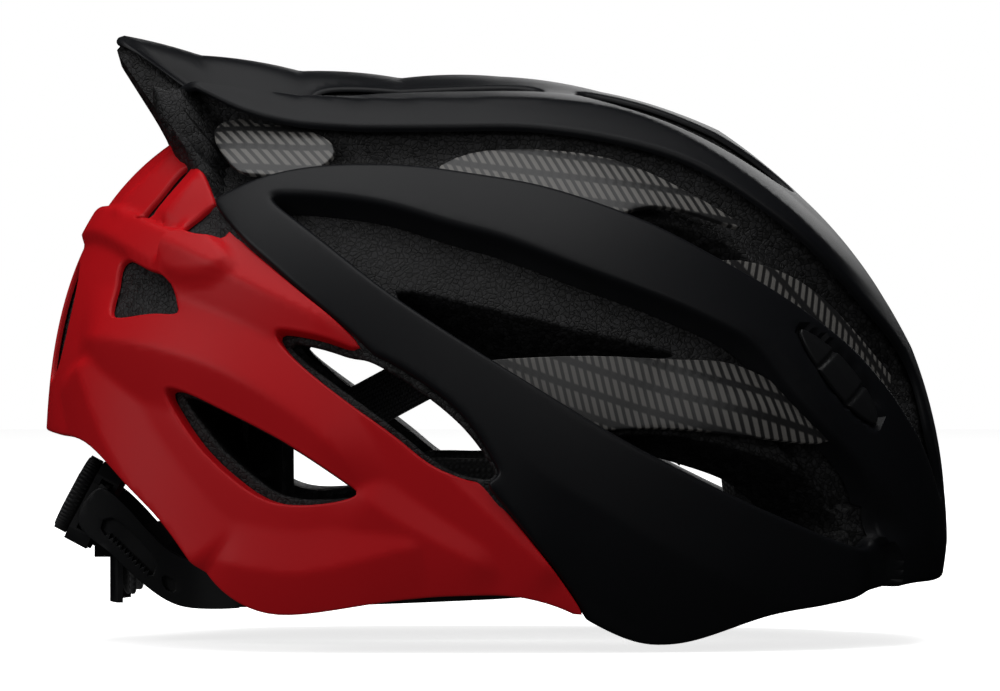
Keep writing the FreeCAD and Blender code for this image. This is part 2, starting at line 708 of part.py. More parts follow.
in_front_of_cover = Part.makeBox(80, 80, 60, Vector(-40, -40,
                                 -size("rack_room_front") - size("cover_wall") - 0.4))
in_front_of_cover.Placement = DIAL
carrier = ribbon([(-118.4, -22), (-121, -12), (-122, 0), (-121, 12), (-118.4, 22)], 1.8)
carrier = carrier.common(side_prism([(-126, 12), (-126, 33), (-114, 33), (-114, 12)]))
arms = []
for side in (1, -1):
    path = [(-120, 7 * side), (-110, 11 * side), (-98, 17 * side), (-88, 28 * side),
            (-79, 37 * side), (-70, 44 * side)]
    arm = ribbon(path, 1.8).common(side_prism([(-123, 26), (-123, 33), (-104, 38), (-96, 46),
                                               (-86, 57), (-70, 64), (-68, 56), (-82, 49),
                                               (-92, 38), (-104, 30)]))
    arms.append(arm)
bracket = Part.makeBox(9, 16, 10, Vector(-127.5, -8, 26))
yoke = carrier.fuse(arms + [bracket]).cut(in_front_of_cover)
feature("yoke", largest(yoke))

track_layer = cavity(0.4).cut(cavity(1.9))
track = track_layer.common(side_prism([(-77, 38), (-77, 74), (-66, 74), (-66, 38)], False, 5, 90))
track_holes = [Part.makeCylinder(1.6, 80, Vector(-71.5, 5, z), Vector(0, 1, 0))
               for z in (46, 54, 62, 70)]
pair("height_track", largest(track.cut(track_holes)))

# ---------------------------------------------------------------- nape pads

nape_wall = ribbon([(-113.6, 22), (-116.4, 12), (-117.6, 1.2)], 4.2)
nape_pad = nape_wall.common(side_prism([(-130, 13), (-130, 24), (-105, 28), (-105, 13)]))
pair("nape_pad", largest(nape_pad))

# ---------------------------------------------------------------- strap dividers and levers

# Each divider lies flat on the cavity wall where the front and rear straps meet.


def wall_frame(x, z, side, inset):
    """A frame on the cavity wall: Z points out of the head's room, X runs forward."""
    a = size("cavity_length") - inset
    b = size("cavity_width") - inset
    c = size("cavity_height") - inset
    dx = (x - size("cavity_x")) / a
    dz = (z - size("cavity_z")) / c
    y = b * math.sqrt(max(0.0, 1 - dx * dx - dz * dz))
    outward = Vector(dx / a, y / b / b, dz / c).normalize()
    forward = Vector(1, 0, 0) - Vector(outward).multiply(outward.x)
    forward.normalize()
    upward = outward.cross(forward)
    turn = Rotation(forward, upward, outward, "XYZ")
    return Placement(Vector(x, y, z), turn)


DIVIDER = wall_frame(9.0, 101.0, 1, 4.3)


def divider_parts():
    half_long = size("divider_length") / 2
    half_wide = size("divider_width") / 2
    frame = Part.makeBox(2 * half_long, 2 * half_wide, size("divider_thick"),
                         Vector(-half_long, -half_wide, -size("divider_thick") / 2))
    window = Part.makeBox(20, 9, 8, Vector(-10, -6, -4))
    frame = frame.cut(window)
    frame = frame.makeFillet(4.0, [edge for edge in frame.Edges
                                   if abs(edge.Vertexes[0].Z - edge.Vertexes[-1].Z) > 2
                                   and abs(edge.Vertexes[0].X) > 12])
    ears = [Part.makeBox(2, 5, 4, Vector(x, 3.6, -1.3 - 4)) for x in (-10.4, 8.4)]
    frame = frame.fuse(ears)
    pin_hole = Part.makeCylinder(0.9, 30, Vector(-15, 6, -3.4), Vector(1, 0, 0))
    frame = frame.cut(pin_hole)
    lever = Part.makeBox(15.6, 9.0, 1.6, Vector(-7.8, -3.0, -4.4))
    hub = Part.makeCylinder(1.6, 15.6, Vector(-7.8, 6, -3.4), Vector(1, 0, 0))
    pivot = Part.makeCylinder(0.6, 19.6, Vector(-9.8, 6, -3.4), Vector(1, 0, 0))
    lever = lever.fuse([hub, pivot])
    return frame, lever


divider, lever = divider_parts()
pair("strap_divider", largest(divider).transformed(DIVIDER.toMatrix(), True))
pair("cam_lever", largest(lever).transformed(DIVIDER.toMatrix(), True))

pivot_low = DIVIDER.multVec(Vector(-9.8, 6, -3.4))
pivot_high = DIVIDER.multVec(Vector(9.8, 6, -3.4))
print("left lever pivot runs from", tuple(pivot_low), "to", tuple(pivot_high))

# ---------------------------------------------------------------- buckle

BUCKLE_AT = Placement(Vector(9, 0, 118), Rotation())

socket = new_body("buckle_socket", BUCKLE_AT)
socket_plan = sketch(socket, "XY_Plane", "socket_outline", -size("buckle_thick") / 2)
half = size("buckle_width") / 2
draw_loop(socket_plan, [(-half, -3), (half, -3), (half, 15), (half - 4, 19), (-half + 4, 19),
                        (-half, 15)])
pad(socket, socket_plan, size("buckle_thick"), "socket_block", False, "sizes.buckle_thick")
doc.recompute()
mouth = sketch(socket, "XZ_Plane", "socket_mouth")
draw_box(mouth, -8.6, 8.6, -1.9, 1.9)
mouth.AttachmentOffset = Placement(Vector(0, 0, 4), Rotation())
pocket(socket, mouth, 16.0, "socket_mouth_pocket")
doc.recompute()

plug = new_body("buckle_plug", BUCKLE_AT)
plug_plan = sketch(plug, "XY_Plane", "plug_outline", -1.5)
draw_loop(plug_plan, [(-8.2, -4), (-8.2, 4), (-6.4, 9.5), (-5, 9.5), (-5, -3.4), (-1.6, -3.4),
                      (-1.6, 8.5), (1.6, 8.5), (1.6, -3.4), (5, -3.4), (5, 9.5), (6.4, 9.5),
                      (8.2, 4), (8.2, -4)])
pad(plug, plug_plan, 3.0, "plug_prongs")
doc.recompute()
plug_grip = sketch(plug, "XY_Plane", "plug_grip_outline", -size("buckle_thick") / 2)
draw_loop(plug_grip, [(-half, -3.8), (half, -3.8), (half, -15), (half - 4, -19), (-half + 4, -19),
                      (-half, -15)])
pad(plug, plug_grip, size("buckle_thick"), "plug_block", False, "sizes.buckle_thick")
doc.recompute()

# ---------------------------------------------------------------- check and write

doc.recompute()
faults = []
for item in doc.Objects:
    if any(word in item.State for word in ("Invalid", "Error")):
        faults.append("%s: %s" % (item.Name, item.State))
for item in pieces:
    shape = item.Shape
    if shape.isNull() or not shape.isValid() or not shape.Solids:
        faults.append("bad shape: " + item.Label)
    elif any(solid.Volume <= 0 for solid in shape.Solids):
        faults.append("inside out: " + item.Label)
if faults:
    raise RuntimeError("; ".join(faults))

os.makedirs("parts", exist_ok=True)
for item in pieces:
    item.Shape.exportStep("parts/%s.step" % item.Label)
    box = item.Shape.BoundBox
    print("%-22s %9.0f mm3  x %7.1f %7.1f  y %7.1f %7.1f  z %7.1f %7.1f" %
          (item.Label, item.Shape.Volume, box.XMin, box.XMax, box.YMin, box.YMax,
           box.ZMin, box.ZMax))
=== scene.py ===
# %% [markdown]
# # A road cycling helmet, dressed around its engineering frame
#
# The frame holds the exact parts: a foam liner, two shell skins, fins, panels, the fit dial with its racks,
# pads, webbing and a buckle. This lesson replaces the skins, liner and panels with finely shaped versions,
# knits and weaves the soft pieces, and lights the whole on a pale floor.
#
# The frame is loaded first.

# %% Load the frame
import bpy
import bmesh
import math
import numpy as np
from mathutils import Matrix, Vector


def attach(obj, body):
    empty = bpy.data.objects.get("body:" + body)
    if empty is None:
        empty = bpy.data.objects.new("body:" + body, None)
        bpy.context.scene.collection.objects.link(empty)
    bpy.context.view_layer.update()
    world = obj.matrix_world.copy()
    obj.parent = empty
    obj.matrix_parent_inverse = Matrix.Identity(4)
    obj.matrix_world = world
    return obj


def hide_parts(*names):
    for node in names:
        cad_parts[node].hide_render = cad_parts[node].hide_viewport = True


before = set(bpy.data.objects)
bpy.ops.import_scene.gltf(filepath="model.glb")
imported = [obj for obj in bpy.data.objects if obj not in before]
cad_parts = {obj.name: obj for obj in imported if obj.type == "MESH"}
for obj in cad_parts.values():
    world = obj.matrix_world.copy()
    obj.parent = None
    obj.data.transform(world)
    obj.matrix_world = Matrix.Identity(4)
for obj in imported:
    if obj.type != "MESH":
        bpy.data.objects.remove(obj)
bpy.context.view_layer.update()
print("nodes in the frame:", len(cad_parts))

# %% [markdown]
# ## The outer form
#
# Every shell follows one smooth egg-like form, flatter at the back than at the front. A point on a shell is
# a direction from the form's centre, the form's radius in that direction, and a small height above or below
# it. Directions on the right half are flattened onto a disc, whose centre is the ear and whose rim is the
# helmet's middle plane, so that outlines can be drawn in the plane. Lengths here are in millimetres.

# %% The form and its flat map
CENTRE = np.array([-5.0, 0.0, 35.0])
REACH_FRONT, REACH_REAR, HALF_WIDTH, RISE, DROP = 149.5, 141.1, 104.0, 144.5, 100.0
HEAD_MIDDLE = np.array([2.0, 0.0, 25.0])
HEAD_RADII = np.array([105.0, 78.0, 110.0])
MAP_SCALE = 110.0
RIM = MAP_SCALE * math.pi / 2


def form_radius(d):
    """Distance from the centre to the form along unit directions."""
    front = d[:, 0] >= 0
    power = np.where(front, 2.1, 3.0)
    x = np.abs(d[:, 0]) / np.where(front, REACH_FRONT, REACH_REAR)
    z = np.abs(d[:, 2]) / np.where(d[:, 2] >= 0, RISE, DROP)
    y = np.abs(d[:, 1]) / HALF_WIDTH
    ring = (x ** power + z ** power) ** (2.2 / power)
    return 1.0 / (ring + y ** 2.2) ** (1 / 2.2)


def cavity_radius(d):
    """Distance from the centre to the head's room along unit directions."""
    start = (CENTRE - HEAD_MIDDLE) / HEAD_RADII
    ray = d / HEAD_RADII
    a = (ray * ray).sum(1)
    b = (ray * start).sum(1)
    c = (start * start).sum() - 1
    return (-b + np.sqrt(b * b - a * c)) / a


def map_to_direction(uv):
    rho = np.clip(np.hypot(uv[:, 0], uv[:, 1]) / MAP_SCALE, 1e-6, None)
    turn = np.arctan2(uv[:, 1], uv[:, 0])
    return np.stack([np.sin(rho) * np.cos(turn), -np.cos(rho), np.sin(rho) * np.sin(turn)], 1)


def point_to_map(points):
    d = np.asarray(points, float) - CENTRE
    d = d / np.linalg.norm(d, axis=1, keepdims=True)
    rho = np.arccos(np.clip(-d[:, 1], -1, 1)) * MAP_SCALE
    turn = np.arctan2(d[:, 2], d[:, 0])
    return np.stack([rho * np.cos(turn), rho * np.sin(turn)], 1)


def side_point(x, z):
    """A side-view point lifted to the right half of the form."""
    front = x >= CENTRE[0]
    power = 2.1 if front else 3.0
    share = (abs(x - CENTRE[0]) / (REACH_FRONT if front else REACH_REAR)) ** power
    share += (abs(z - CENTRE[2]) / (RISE if z >= CENTRE[2] else DROP)) ** power
    y = HALF_WIDTH * max(0.0, 1 - share ** (2.2 / power)) ** (1 / 2.2)
    return (x, -y, z)


def smooth_line(points, closed=True, steps=6):
    """A rounded line through a few points."""
    points = np.asarray(points, float)
    count = len(points)
    out = []
    for i in range(count if closed else count - 1):
        if closed:
            a, b, c, d = (points[(i + k) % count] for k in (-1, 0, 1, 2))
        else:
            a, b = points[max(i - 1, 0)], points[i]
            c, d = points[i + 1], points[min(i + 2, count - 1)]
        for step in range(steps):
            t = step / steps
            out.append(0.5 * (2 * b + (c - a) * t + (2 * a - 5 * b + 4 * c - d) * t ** 2
                              + (3 * b - a - 3 * c + d) * t ** 3))
    if not closed:
        out.append(points[-1])
    out = np.array(out)
    for _ in range(4):
        before, after = np.roll(out, 1, axis=0), np.roll(out, -1, axis=0)
        if not closed:
            before[0], after[-1] = out[0], out[-1]
            before[-1], after[0] = out[-1], out[0]
        out = (before + 2 * out + after) / 4
    return out


def drawn(outline, closed=True, steps=6):
    """Side-view outline to a smooth line on the map."""
    return smooth_line(point_to_map([side_point(x, z) for x, z in outline]), closed, steps)


def on_rim(line, first=None, last=None):
    """Moves a line's ends out to the middle plane."""
    line = line.copy()
    for end in (first, last):
        if end is not None:
            line[end] *= (RIM + 6) / np.linalg.norm(line[end])
    return line


def near_line(P, line, closed=True):
    """Distance to a line, the nearest point on it, the share along it and the side of it.

    For a closed line the distance is negative inside. For an open one it is negative on its right."""
    A = line
    B = np.roll(line, -1, axis=0)
    if not closed:
        A, B = A[:-1], B[:-1]
    run = B - A
    length = (run * run).sum(1) + 1e-12
    best = np.full(len(P), 1e18)
    spot = np.zeros_like(P)
    along = np.zeros(len(P))
    sign = np.ones(len(P))
    inside = np.zeros(len(P), bool)
    for k in range(len(A)):
        w = P - A[k]
        t = np.clip((w @ run[k]) / length[k], 0, 1)
        near = A[k] + t[:, None] * run[k]
        off = ((P - near) ** 2).sum(1)
        better = off < best
        best[better] = off[better]
        spot[better] = near[better]
        along[better] = (k + t[better]) / len(A)
        if closed:
            a, b = A[k], B[k]
            if a[1] != b[1]:
                cross = ((a[1] > P[:, 1]) != (b[1] > P[:, 1]))
                cross &= P[:, 0] < (b[0] - a[0]) * (P[:, 1] - a[1]) / (b[1] - a[1]) + a[0]
                inside ^= cross
        else:
            side = run[k][0] * w[:, 1] - run[k][1] * w[:, 0]
            sign[better] = np.where(side[better] >= 0, 1.0, -1.0)
    distance = np.sqrt(best)
    if closed:
        sign = np.where(inside, -1.0, 1.0)
    return distance * sign, spot, along


def ease(x, low, high):
    """0 below low, 1 above high, smooth between."""
    t = np.clip((x - low) / (high - low), 0, 1)
    return t * t * (3 - 2 * t)


# %% [markdown]
# ## A mesher for shells
#
# A shell is cut from a fine triangle net on the map. Each outline trims the net exactly, then the trimmed
# edge is rolled over in a small quarter round, carried down as a lip, and joined to the shell's underside.
# The left half is the mirror of the right, sewn to it on the middle plane.

# %% Trim, roll and sew


def triangle_net(step):
    rows = int(2 * (RIM + 8) / (step * 0.866)) + 2
    cols = int(2 * (RIM + 8) / step) + 2
    j, i = np.mgrid[0:rows, 0:cols]
    u = (i + 0.5 * (j % 2)) * step - RIM - 8
    v = j * step * 0.866 - RIM - 8
    P = np.stack([u.ravel(), v.ravel()], 1)
    T = []
    for parity in (0, 1):
        jj, ii = np.mgrid[parity:rows - 1:2, 0:cols - 1]
        a = (jj * cols + ii).ravel()
        b, c, e = a + 1, a + cols, a + cols + 1
        if parity == 0:
            T += [np.stack([a, b, c], 1), np.stack([b, e, c], 1)]
        else:
            T += [np.stack([a, e, c], 1), np.stack([a, b, e], 1)]
    return P, np.concatenate(T)


def trim(P, T, rule, step):
    """Keeps the part of the net where the rule's distance is below zero."""
    d, spot = rule(P)
    near = np.abs(d) < 0.32 * step
    P = P.copy()
    P[near] = spot[near]
    d = np.where(near, 0.0, d)
    over = (d[T] > 0).sum(1)
    under = (d[T] < 0).sum(1)
    keep = T[(over == 0) & (under > 0)]
    flat = T[(over == 0) & (under == 0)]
    if len(flat):
        keep = np.concatenate([keep, flat[rule(P[flat].mean(1))[0] < 0]])
    made = [keep]
    fresh = {}
    extra = []

    def crossing(a, b):
        if d[b] == 0:
            return b
        if d[a] == 0:
            return a
        key = (a, b) if a < b else (b, a)
        if key not in fresh:
            t = d[a] / (d[a] - d[b])
            fresh[key] = len(P) + len(extra)
            extra.append(P[a] + t * (P[b] - P[a]))
        return fresh[key]

    cut = []
    for tri in T[(over > 0) & (under > 0)]:
        sign = d[tri] > 0
        k = int(np.argmax(sign)) if sign.sum() == 1 else int(np.argmin(sign))
        a, b, c = tri[k], tri[(k + 1) % 3], tri[(k + 2) % 3]
        ab, ac = crossing(a, b), crossing(a, c)
        if sign.sum() == 1:
            cut += [(ab, b, c), (ab, c, ac)]
        else:
            cut.append((a, ab, ac))
    if extra:
        extra = np.array(extra)
        extra = rule(extra)[1]
        P = np.concatenate([P, extra])
    if cut:
        cut = np.array(cut)
        cut = cut[(cut[:, 0] != cut[:, 1]) & (cut[:, 1] != cut[:, 2]) & (cut[:, 0] != cut[:, 2])]
        made.append(cut)
    T = np.concatenate(made)
    used, back = np.unique(T, return_inverse=True)
    return P[used], back.reshape(T.shape)


def rim_rule(P):
    reach = np.hypot(P[:, 0], P[:, 1])
    spot = P * (RIM / np.maximum(reach, 1e-9))[:, None]
    return reach - RIM, spot


def keep_inside(line, inset=0.0, flip=False):
    """Rule that keeps what lies inside a closed line, or outside it when flipped."""
    def rule(P):
        d, spot, _ = near_line(P, line)
        away = (P - spot) / np.where(np.abs(d) < 1e-9, 1e-9, d)[:, None]
        value = -d if flip else d
        normal = -away if flip else away
        value = value + inset
        return value, P - normal * value[:, None]
    return rule


def solid_point(uv, height):
    d = map_to_direction(uv)
    return CENTRE + d * (form_radius(d) + height)[:, None]


def follow(P, creases, step):
    """Slides net points that lie close to a crease onto it, so that the crease stays crisp."""
    P, free = P.copy(), np.ones(len(P), bool)
    for line in creases:
        off, spot, along = near_line(P, line, False)
        near = free & (np.abs(off) < 0.4 * step) & (along > 0.001) & (along < 0.999)
        P[near] = spot[near]
        free &= ~near
    return P


def shell(step, rules, top, bottom, roll=1.6, both=True, wall_steps=2, sink=None, creases=()):
    """Builds one closed shell between two heights given on the map.

    sink, where given, carries points of the top straight down to the underside instead of radially."""
    P, T = triangle_net(step)
    P = follow(P, creases, step)
    for rule in [rim_rule] + rules:
        P, T = trim(P, T, rule, step)
    on_plane = np.abs(np.hypot(P[:, 0], P[:, 1]) - RIM) < 1e-6
    edges = np.concatenate([T[:, [0, 1]], T[:, [1, 2]], T[:, [2, 0]]])
    keys = edges[:, 0].astype(np.int64) * len(P) + edges[:, 1]
    back = edges[:, 1].astype(np.int64) * len(P) + edges[:, 0]
    border = edges[~np.isin(keys, back)]
    border = border[~(on_plane[border[:, 0]] & on_plane[border[:, 1]])]
    run = P[border[:, 1]] - P[border[:, 0]]
    normal = np.stack([run[:, 1], -run[:, 0]], 1)
    total = np.zeros_like(P)
    np.add.at(total, border[:, 0], normal)
    np.add.at(total, border[:, 1], normal)
    radial = P / np.maximum(np.hypot(P[:, 0], P[:, 1]), 1e-9)[:, None]
    inward = (total * radial).sum(1)
    total[on_plane] -= inward[on_plane, None] * radial[on_plane]
    total /= np.maximum(np.hypot(total[:, 0], total[:, 1]), 1e-9)[:, None]
    ring = np.unique(border)
    slot = np.full(len(P), -1)
    slot[ring] = np.arange(len(ring))
    Q, N = P[ring], total[ring]
    tall = top(Q)
    deep = tall - bottom(Q)
    layers = []
    for angle in np.radians([22, 45, 68, 90]):
        out, drop = roll * math.sin(angle), roll * (1 - math.cos(angle))
        layers.append((Q + N * out, tall - drop))
    for k in range(1, wall_steps + 1):
        share = k / wall_steps
        layers.append((Q + N * roll, tall - roll - (deep - roll) * share))
    uv = [P] + [place for place, _ in layers] + [P]
    xyz = [solid_point(P, top(P))] + [solid_point(place, h) for place, h in layers]
    if sink is None:
        low = solid_point(P, bottom(P))
    else:
        low = sink(xyz[0])
        rolled, deepest = xyz[4], low[ring]
        for k in range(1, wall_steps + 1):
            xyz[4 + k] = rolled + (deepest - rolled) * (k / (wall_steps + 1))
    xyz.append(low)
    starts = np.cumsum([0] + [len(block) for block in xyz])
    uv, xyz = np.concatenate(uv), np.concatenate(xyz)
    last = starts[-2]
    faces = [T, T[:, ::-1] + last]
    a, b = border[:, 0], border[:, 1]
    upper_a, upper_b = a, b
    for k in range(len(layers) + 1):
        if k < len(layers):
            lower_a, lower_b = starts[k + 1] + slot[a], starts[k + 1] + slot[b]
        else:
            lower_a, lower_b = a + last, b + last
        faces.append(np.stack([upper_a, lower_a, lower_b], 1))
        faces.append(np.stack([upper_a, lower_b, upper_b], 1))
        upper_a, upper_b = lower_a, lower_b
    faces = np.concatenate(faces)
    used, inverse = np.unique(faces, return_inverse=True)
    faces, uv, xyz = inverse.reshape(faces.shape), uv[used], xyz[used]
    if both:
        plane = np.abs(xyz[:, 1]) < 1e-4
        xyz[plane, 1] = 0.0
        other = np.where(plane, np.arange(len(xyz)), -1)
        other[~plane] = len(xyz) + np.arange((~plane).sum())
        faces = np.concatenate([faces, other[faces][:, ::-1]])
        xyz = np.concatenate([xyz, xyz[~plane] * np.array([1, -1, 1])])
        uv = np.concatenate([uv, uv[~plane]])
    return xyz, faces, uv


def outward(xyz, faces):
    """Turns the faces so that the volume is positive."""
    a, b, c = xyz[faces[:, 0]], xyz[faces[:, 1]], xyz[faces[:, 2]]
    volume = (a * np.cross(b, c)).sum() / 6
    return faces if volume > 0 else faces[:, ::-1]


def to_object(name, xyz, faces, uv=None, material=None, smooth_angle=40):
    mesh = bpy.data.meshes.new(name)
    faces = outward(xyz, faces)
    mesh.vertices.add(len(xyz))
    mesh.vertices.foreach_set("co", (xyz * 0.001).astype(np.float32).ravel())
    mesh.loops.add(faces.size)
    mesh.loops.foreach_set("vertex_index", faces.astype(np.int32).ravel())
    mesh.polygons.add(len(faces))
    mesh.polygons.foreach_set("loop_start", np.arange(0, faces.size, 3, dtype=np.int32))
    mesh.update(calc_edges=True)
    if uv is not None:
        layer = mesh.uv_layers.new(name="UVMap")
        layer.data.foreach_set("uv", (uv[faces.ravel()] * 0.01).astype(np.float32).ravel())
    mesh.validate()
    mesh.set_sharp_from_angle(angle=math.radians(smooth_angle))
    item = bpy.data.objects.new(name, mesh)
    bpy.context.collection.objects.link(item)
    if material is not None:
        mesh.materials.append(material)
    print("%-20s %7d triangles" % (name, len(faces)))
    return item

# %% [markdown]
# ## Outlines
#
# The openings and ribs are drawn as side-view lines in millimetres, forward and up. The tail carries fins
# that stand off the form, so their crests are given as full points.

# %% Draw the outlines
UPPER_CHANNEL = drawn([(-104, 152), (-97, 161), (-76, 161), (-51, 160.5), (-23, 161.5), (2, 162),
                       (20, 161), (39, 158), (58, 152), (74, 143), (89, 132), (104, 119.5),
                       (116.6, 106.8), (124, 99), (130.4, 90.4), (134.3, 81), (136.8, 70), (139, 60),
                       (141, 51), (141.4, 44.5), (138.6, 53.5), (134, 64.8), (129.3, 72.1),
                       (124.9, 78.6), (118.5, 86.2), (112.2, 93), (99.6, 102.8), (84, 113), (70, 120.8),
                       (51, 131), (33, 138), (14, 144), (-4, 147), (-23, 150), (-45, 150.5),
                       (-62, 149), (-77, 145), (-90, 138), (-100, 142)], True, 4)
SIDE_WINDOW = drawn([(-70, 140), (-62, 140.5), (-44, 139), (-29, 136), (-14, 131), (2, 127), (20, 120),
                     (39, 113), (57, 106), (72, 99), (82, 93), (91, 82), (101, 70), (110, 61),
                     (116.5, 52.5), (120.6, 44), (122, 36), (120.5, 31), (115, 30.5), (107, 33), (94, 38.5),
                     (75, 47), (57, 56), (38, 66),
                     (20, 77), (2, 88), (-17, 100), (-35, 112), (-50, 124), (-63, 134)], True, 4)
OPENING_A = drawn([(-69, 99), (-59, 98), (-41, 93), (-24, 84), (-9, 72), (0, 58), (1, 54), (-5, 52),
                   (-19, 57), (-30, 66), (-47, 78), (-62, 90)], True, 5)
OPENING_B = drawn([(-103, 80), (-98, 80.5), (-84, 74), (-64, 64), (-46, 52), (-42.5, 48), (-53, 45.5),
                   (-64, 45), (-73, 47), (-82, 53), (-92, 62), (-100, 73)], True, 5)
WINDOW_C = drawn([(-118, 122), (-109, 118), (-102, 115), (-100, 108), (-99, 104), (-107, 104),
                  (-119, 102), (-120, 111)], True, 6)
OPENING_D = drawn([(-87, 140), (-83.5, 133), (-85, 128), (-91, 127), (-96.5, 129), (-95.5, 133)], True, 6)
SLOT_E = drawn([(-98.6, 151.6), (-96.4, 150.2), (-103.6, 141.4), (-110.6, 133.4), (-112.8, 134.8),
                (-106, 143)], True, 7)
HEM_LINE = drawn([(143.5, 20), (139, 19), (133, 19), (126, 18), (113, 15), (100, 12.5), (88, 11), (77, 7),
                  (65, 2), (55, 0), (45, 1), (34, 6), (23, 12), (10, 16), (-4, 17), (-29, 15.5),
                  (-50, 12), (-68, 10), (-80, 14), (-89, 22), (-96, 31), (-103, 40), (-112, 49),
                  (-122, 59), (-131, 65), (-141, 66)], False, 4)
HEM_LINE = on_rim(HEM_LINE, 0, -1)


def arc(start, end, reach=RIM + 40, count=40):
    """Points outside the map's rim between two bearings in degrees."""
    turn = np.radians(np.linspace(start, end, count))
    return np.stack([reach * np.cos(turn), reach * np.sin(turn)], 1)


ABOVE_HEM = np.concatenate([HEM_LINE, arc(168, -6)])
TAIL_LINE = point_to_map([(-122, 0, 191), (-118, -7, 186.5), (-104, -13, 180), (-92, -19, 175.5),
                          (-99, -28, 176.5), (-110, -37, 178), (-106, -42.5, 171), (-98, -47, 161.5)])
TAIL_LINE = on_rim(TAIL_LINE, 0)
FOAM_TAIL = point_to_map([(-120.5, 0, 187), (-118, -12, 184), (-113, -30, 178), (-110, -40, 172.5),
                          (-103, -46, 165), (-96, -50, 156.5), (-89, -54, 148)])
FOAM_TAIL = on_rim(FOAM_TAIL, 0)
RED_TAIL = point_to_map([(-113, 0, 171), (-109, -20, 167.5), (-104, -36, 162.5), (-99, -44, 157.5),
                         (-93, -51, 150)])
RED_TAIL = on_rim(RED_TAIL, 0)
SEAM_LINE = drawn([(-91, 148), (-88.5, 141), (-86, 136), (-78, 126.5), (-70, 119.5), (-59, 110),
                   (-46, 99.5), (-37, 91), (-24, 78), (-13, 65), (-4, 53), (5, 42.5), (14, 31), (24, 18),
                   (33, 3)], False, 5)
FRONT_LOW = point_to_map([(60, -90, -30), (110, -60, -30)])
BLACK_REGION = np.concatenate([TAIL_LINE, SEAM_LINE, FRONT_LOW, arc(-40, 126)])
FOAM_UNDER_BLACK = np.concatenate([FOAM_TAIL, SEAM_LINE, FRONT_LOW, arc(-40, 126)])
NOT_RED = np.concatenate([RED_TAIL, SEAM_LINE, FRONT_LOW, arc(-40, 128)])
CREST = np.array([(-109, -37, 177), (-97, -38, 176), (-80, -40, 172.5), (-61, -43, 169.5),
                  (-42, -45, 168.5), (-23, -46, 168), (2, -45, 168), (27, -42, 167), (46, -41, 163),
                  (64, -43, 154), (83, -45, 140), (102, -43, 125), (118, -33, 111), (132, -14, 95)], float)
CREST_MAP = smooth_line(point_to_map(CREST), False, 5)
CREST_REACH = np.interp(np.linspace(0, 1, len(CREST_MAP)), np.linspace(0, 1, len(CREST)),
                        np.linalg.norm(CREST - CENTRE, axis=1))
SPINE = np.array([(-124, 187.5), (-119.5, 192.8), (-94, 186.3), (-62, 181.2), (-30, 178.9), (2, 179.4),
                  (34, 174.4), (59.5, 167.2), (71.5, 162.2), (85, 152.2), (98, 140), (114, 122.2),
                  (123.4, 108.9), (133, 93), (139.4, 72.8), (143.5, 47.2), (144.5, 31.2), (142, 15)])
SPINE_TURN = np.arctan2(SPINE[:, 1] - 35, SPINE[:, 0] + 5)
SPINE_REACH = np.hypot(SPINE[:, 0] + 5, SPINE[:, 1] - 35)
RIB_FOLD = drawn([(72, 99), (79, 98), (85, 94), (92, 87), (103, 72), (114, 59), (125, 44), (132, 31),
                  (135, 19), (136, 8)], False, 5)
BAND_FOLD = drawn([(6, 62), (15, 54), (32, 44), (50, 33), (69, 23), (89, 12), (110, 2)], False, 5)
BAND_FRONT = drawn([(122.5, 33.5), (126, 31), (127.2, 27), (127, 22), (125.5, 12)], False, 5)
INSERT = drawn([(92.6, 100.4), (96, 100.6), (100.4, 98.4), (107.4, 93.4), (113.3, 86.8), (118, 80.3),
                (121, 73.5), (121.3, 68.8), (119, 67.2), (114.5, 69.6), (108.6, 74.3), (103.3, 80.7),
                (98.6, 87.2), (94.5, 94)], True, 3)
print("channel", len(UPPER_CHANNEL), "window", len(SIDE_WINDOW), "hem", len(HEM_LINE))

# %% [markdown]
# ## Relief
#
# The black skin's relief: a spine that rises into the tail fin, a crest on each shoulder that rises into a
# side fin, the valley between them, a fold down the front of the middle rib, and the lower band's soft
# fold.

# %% Heights of the black skin


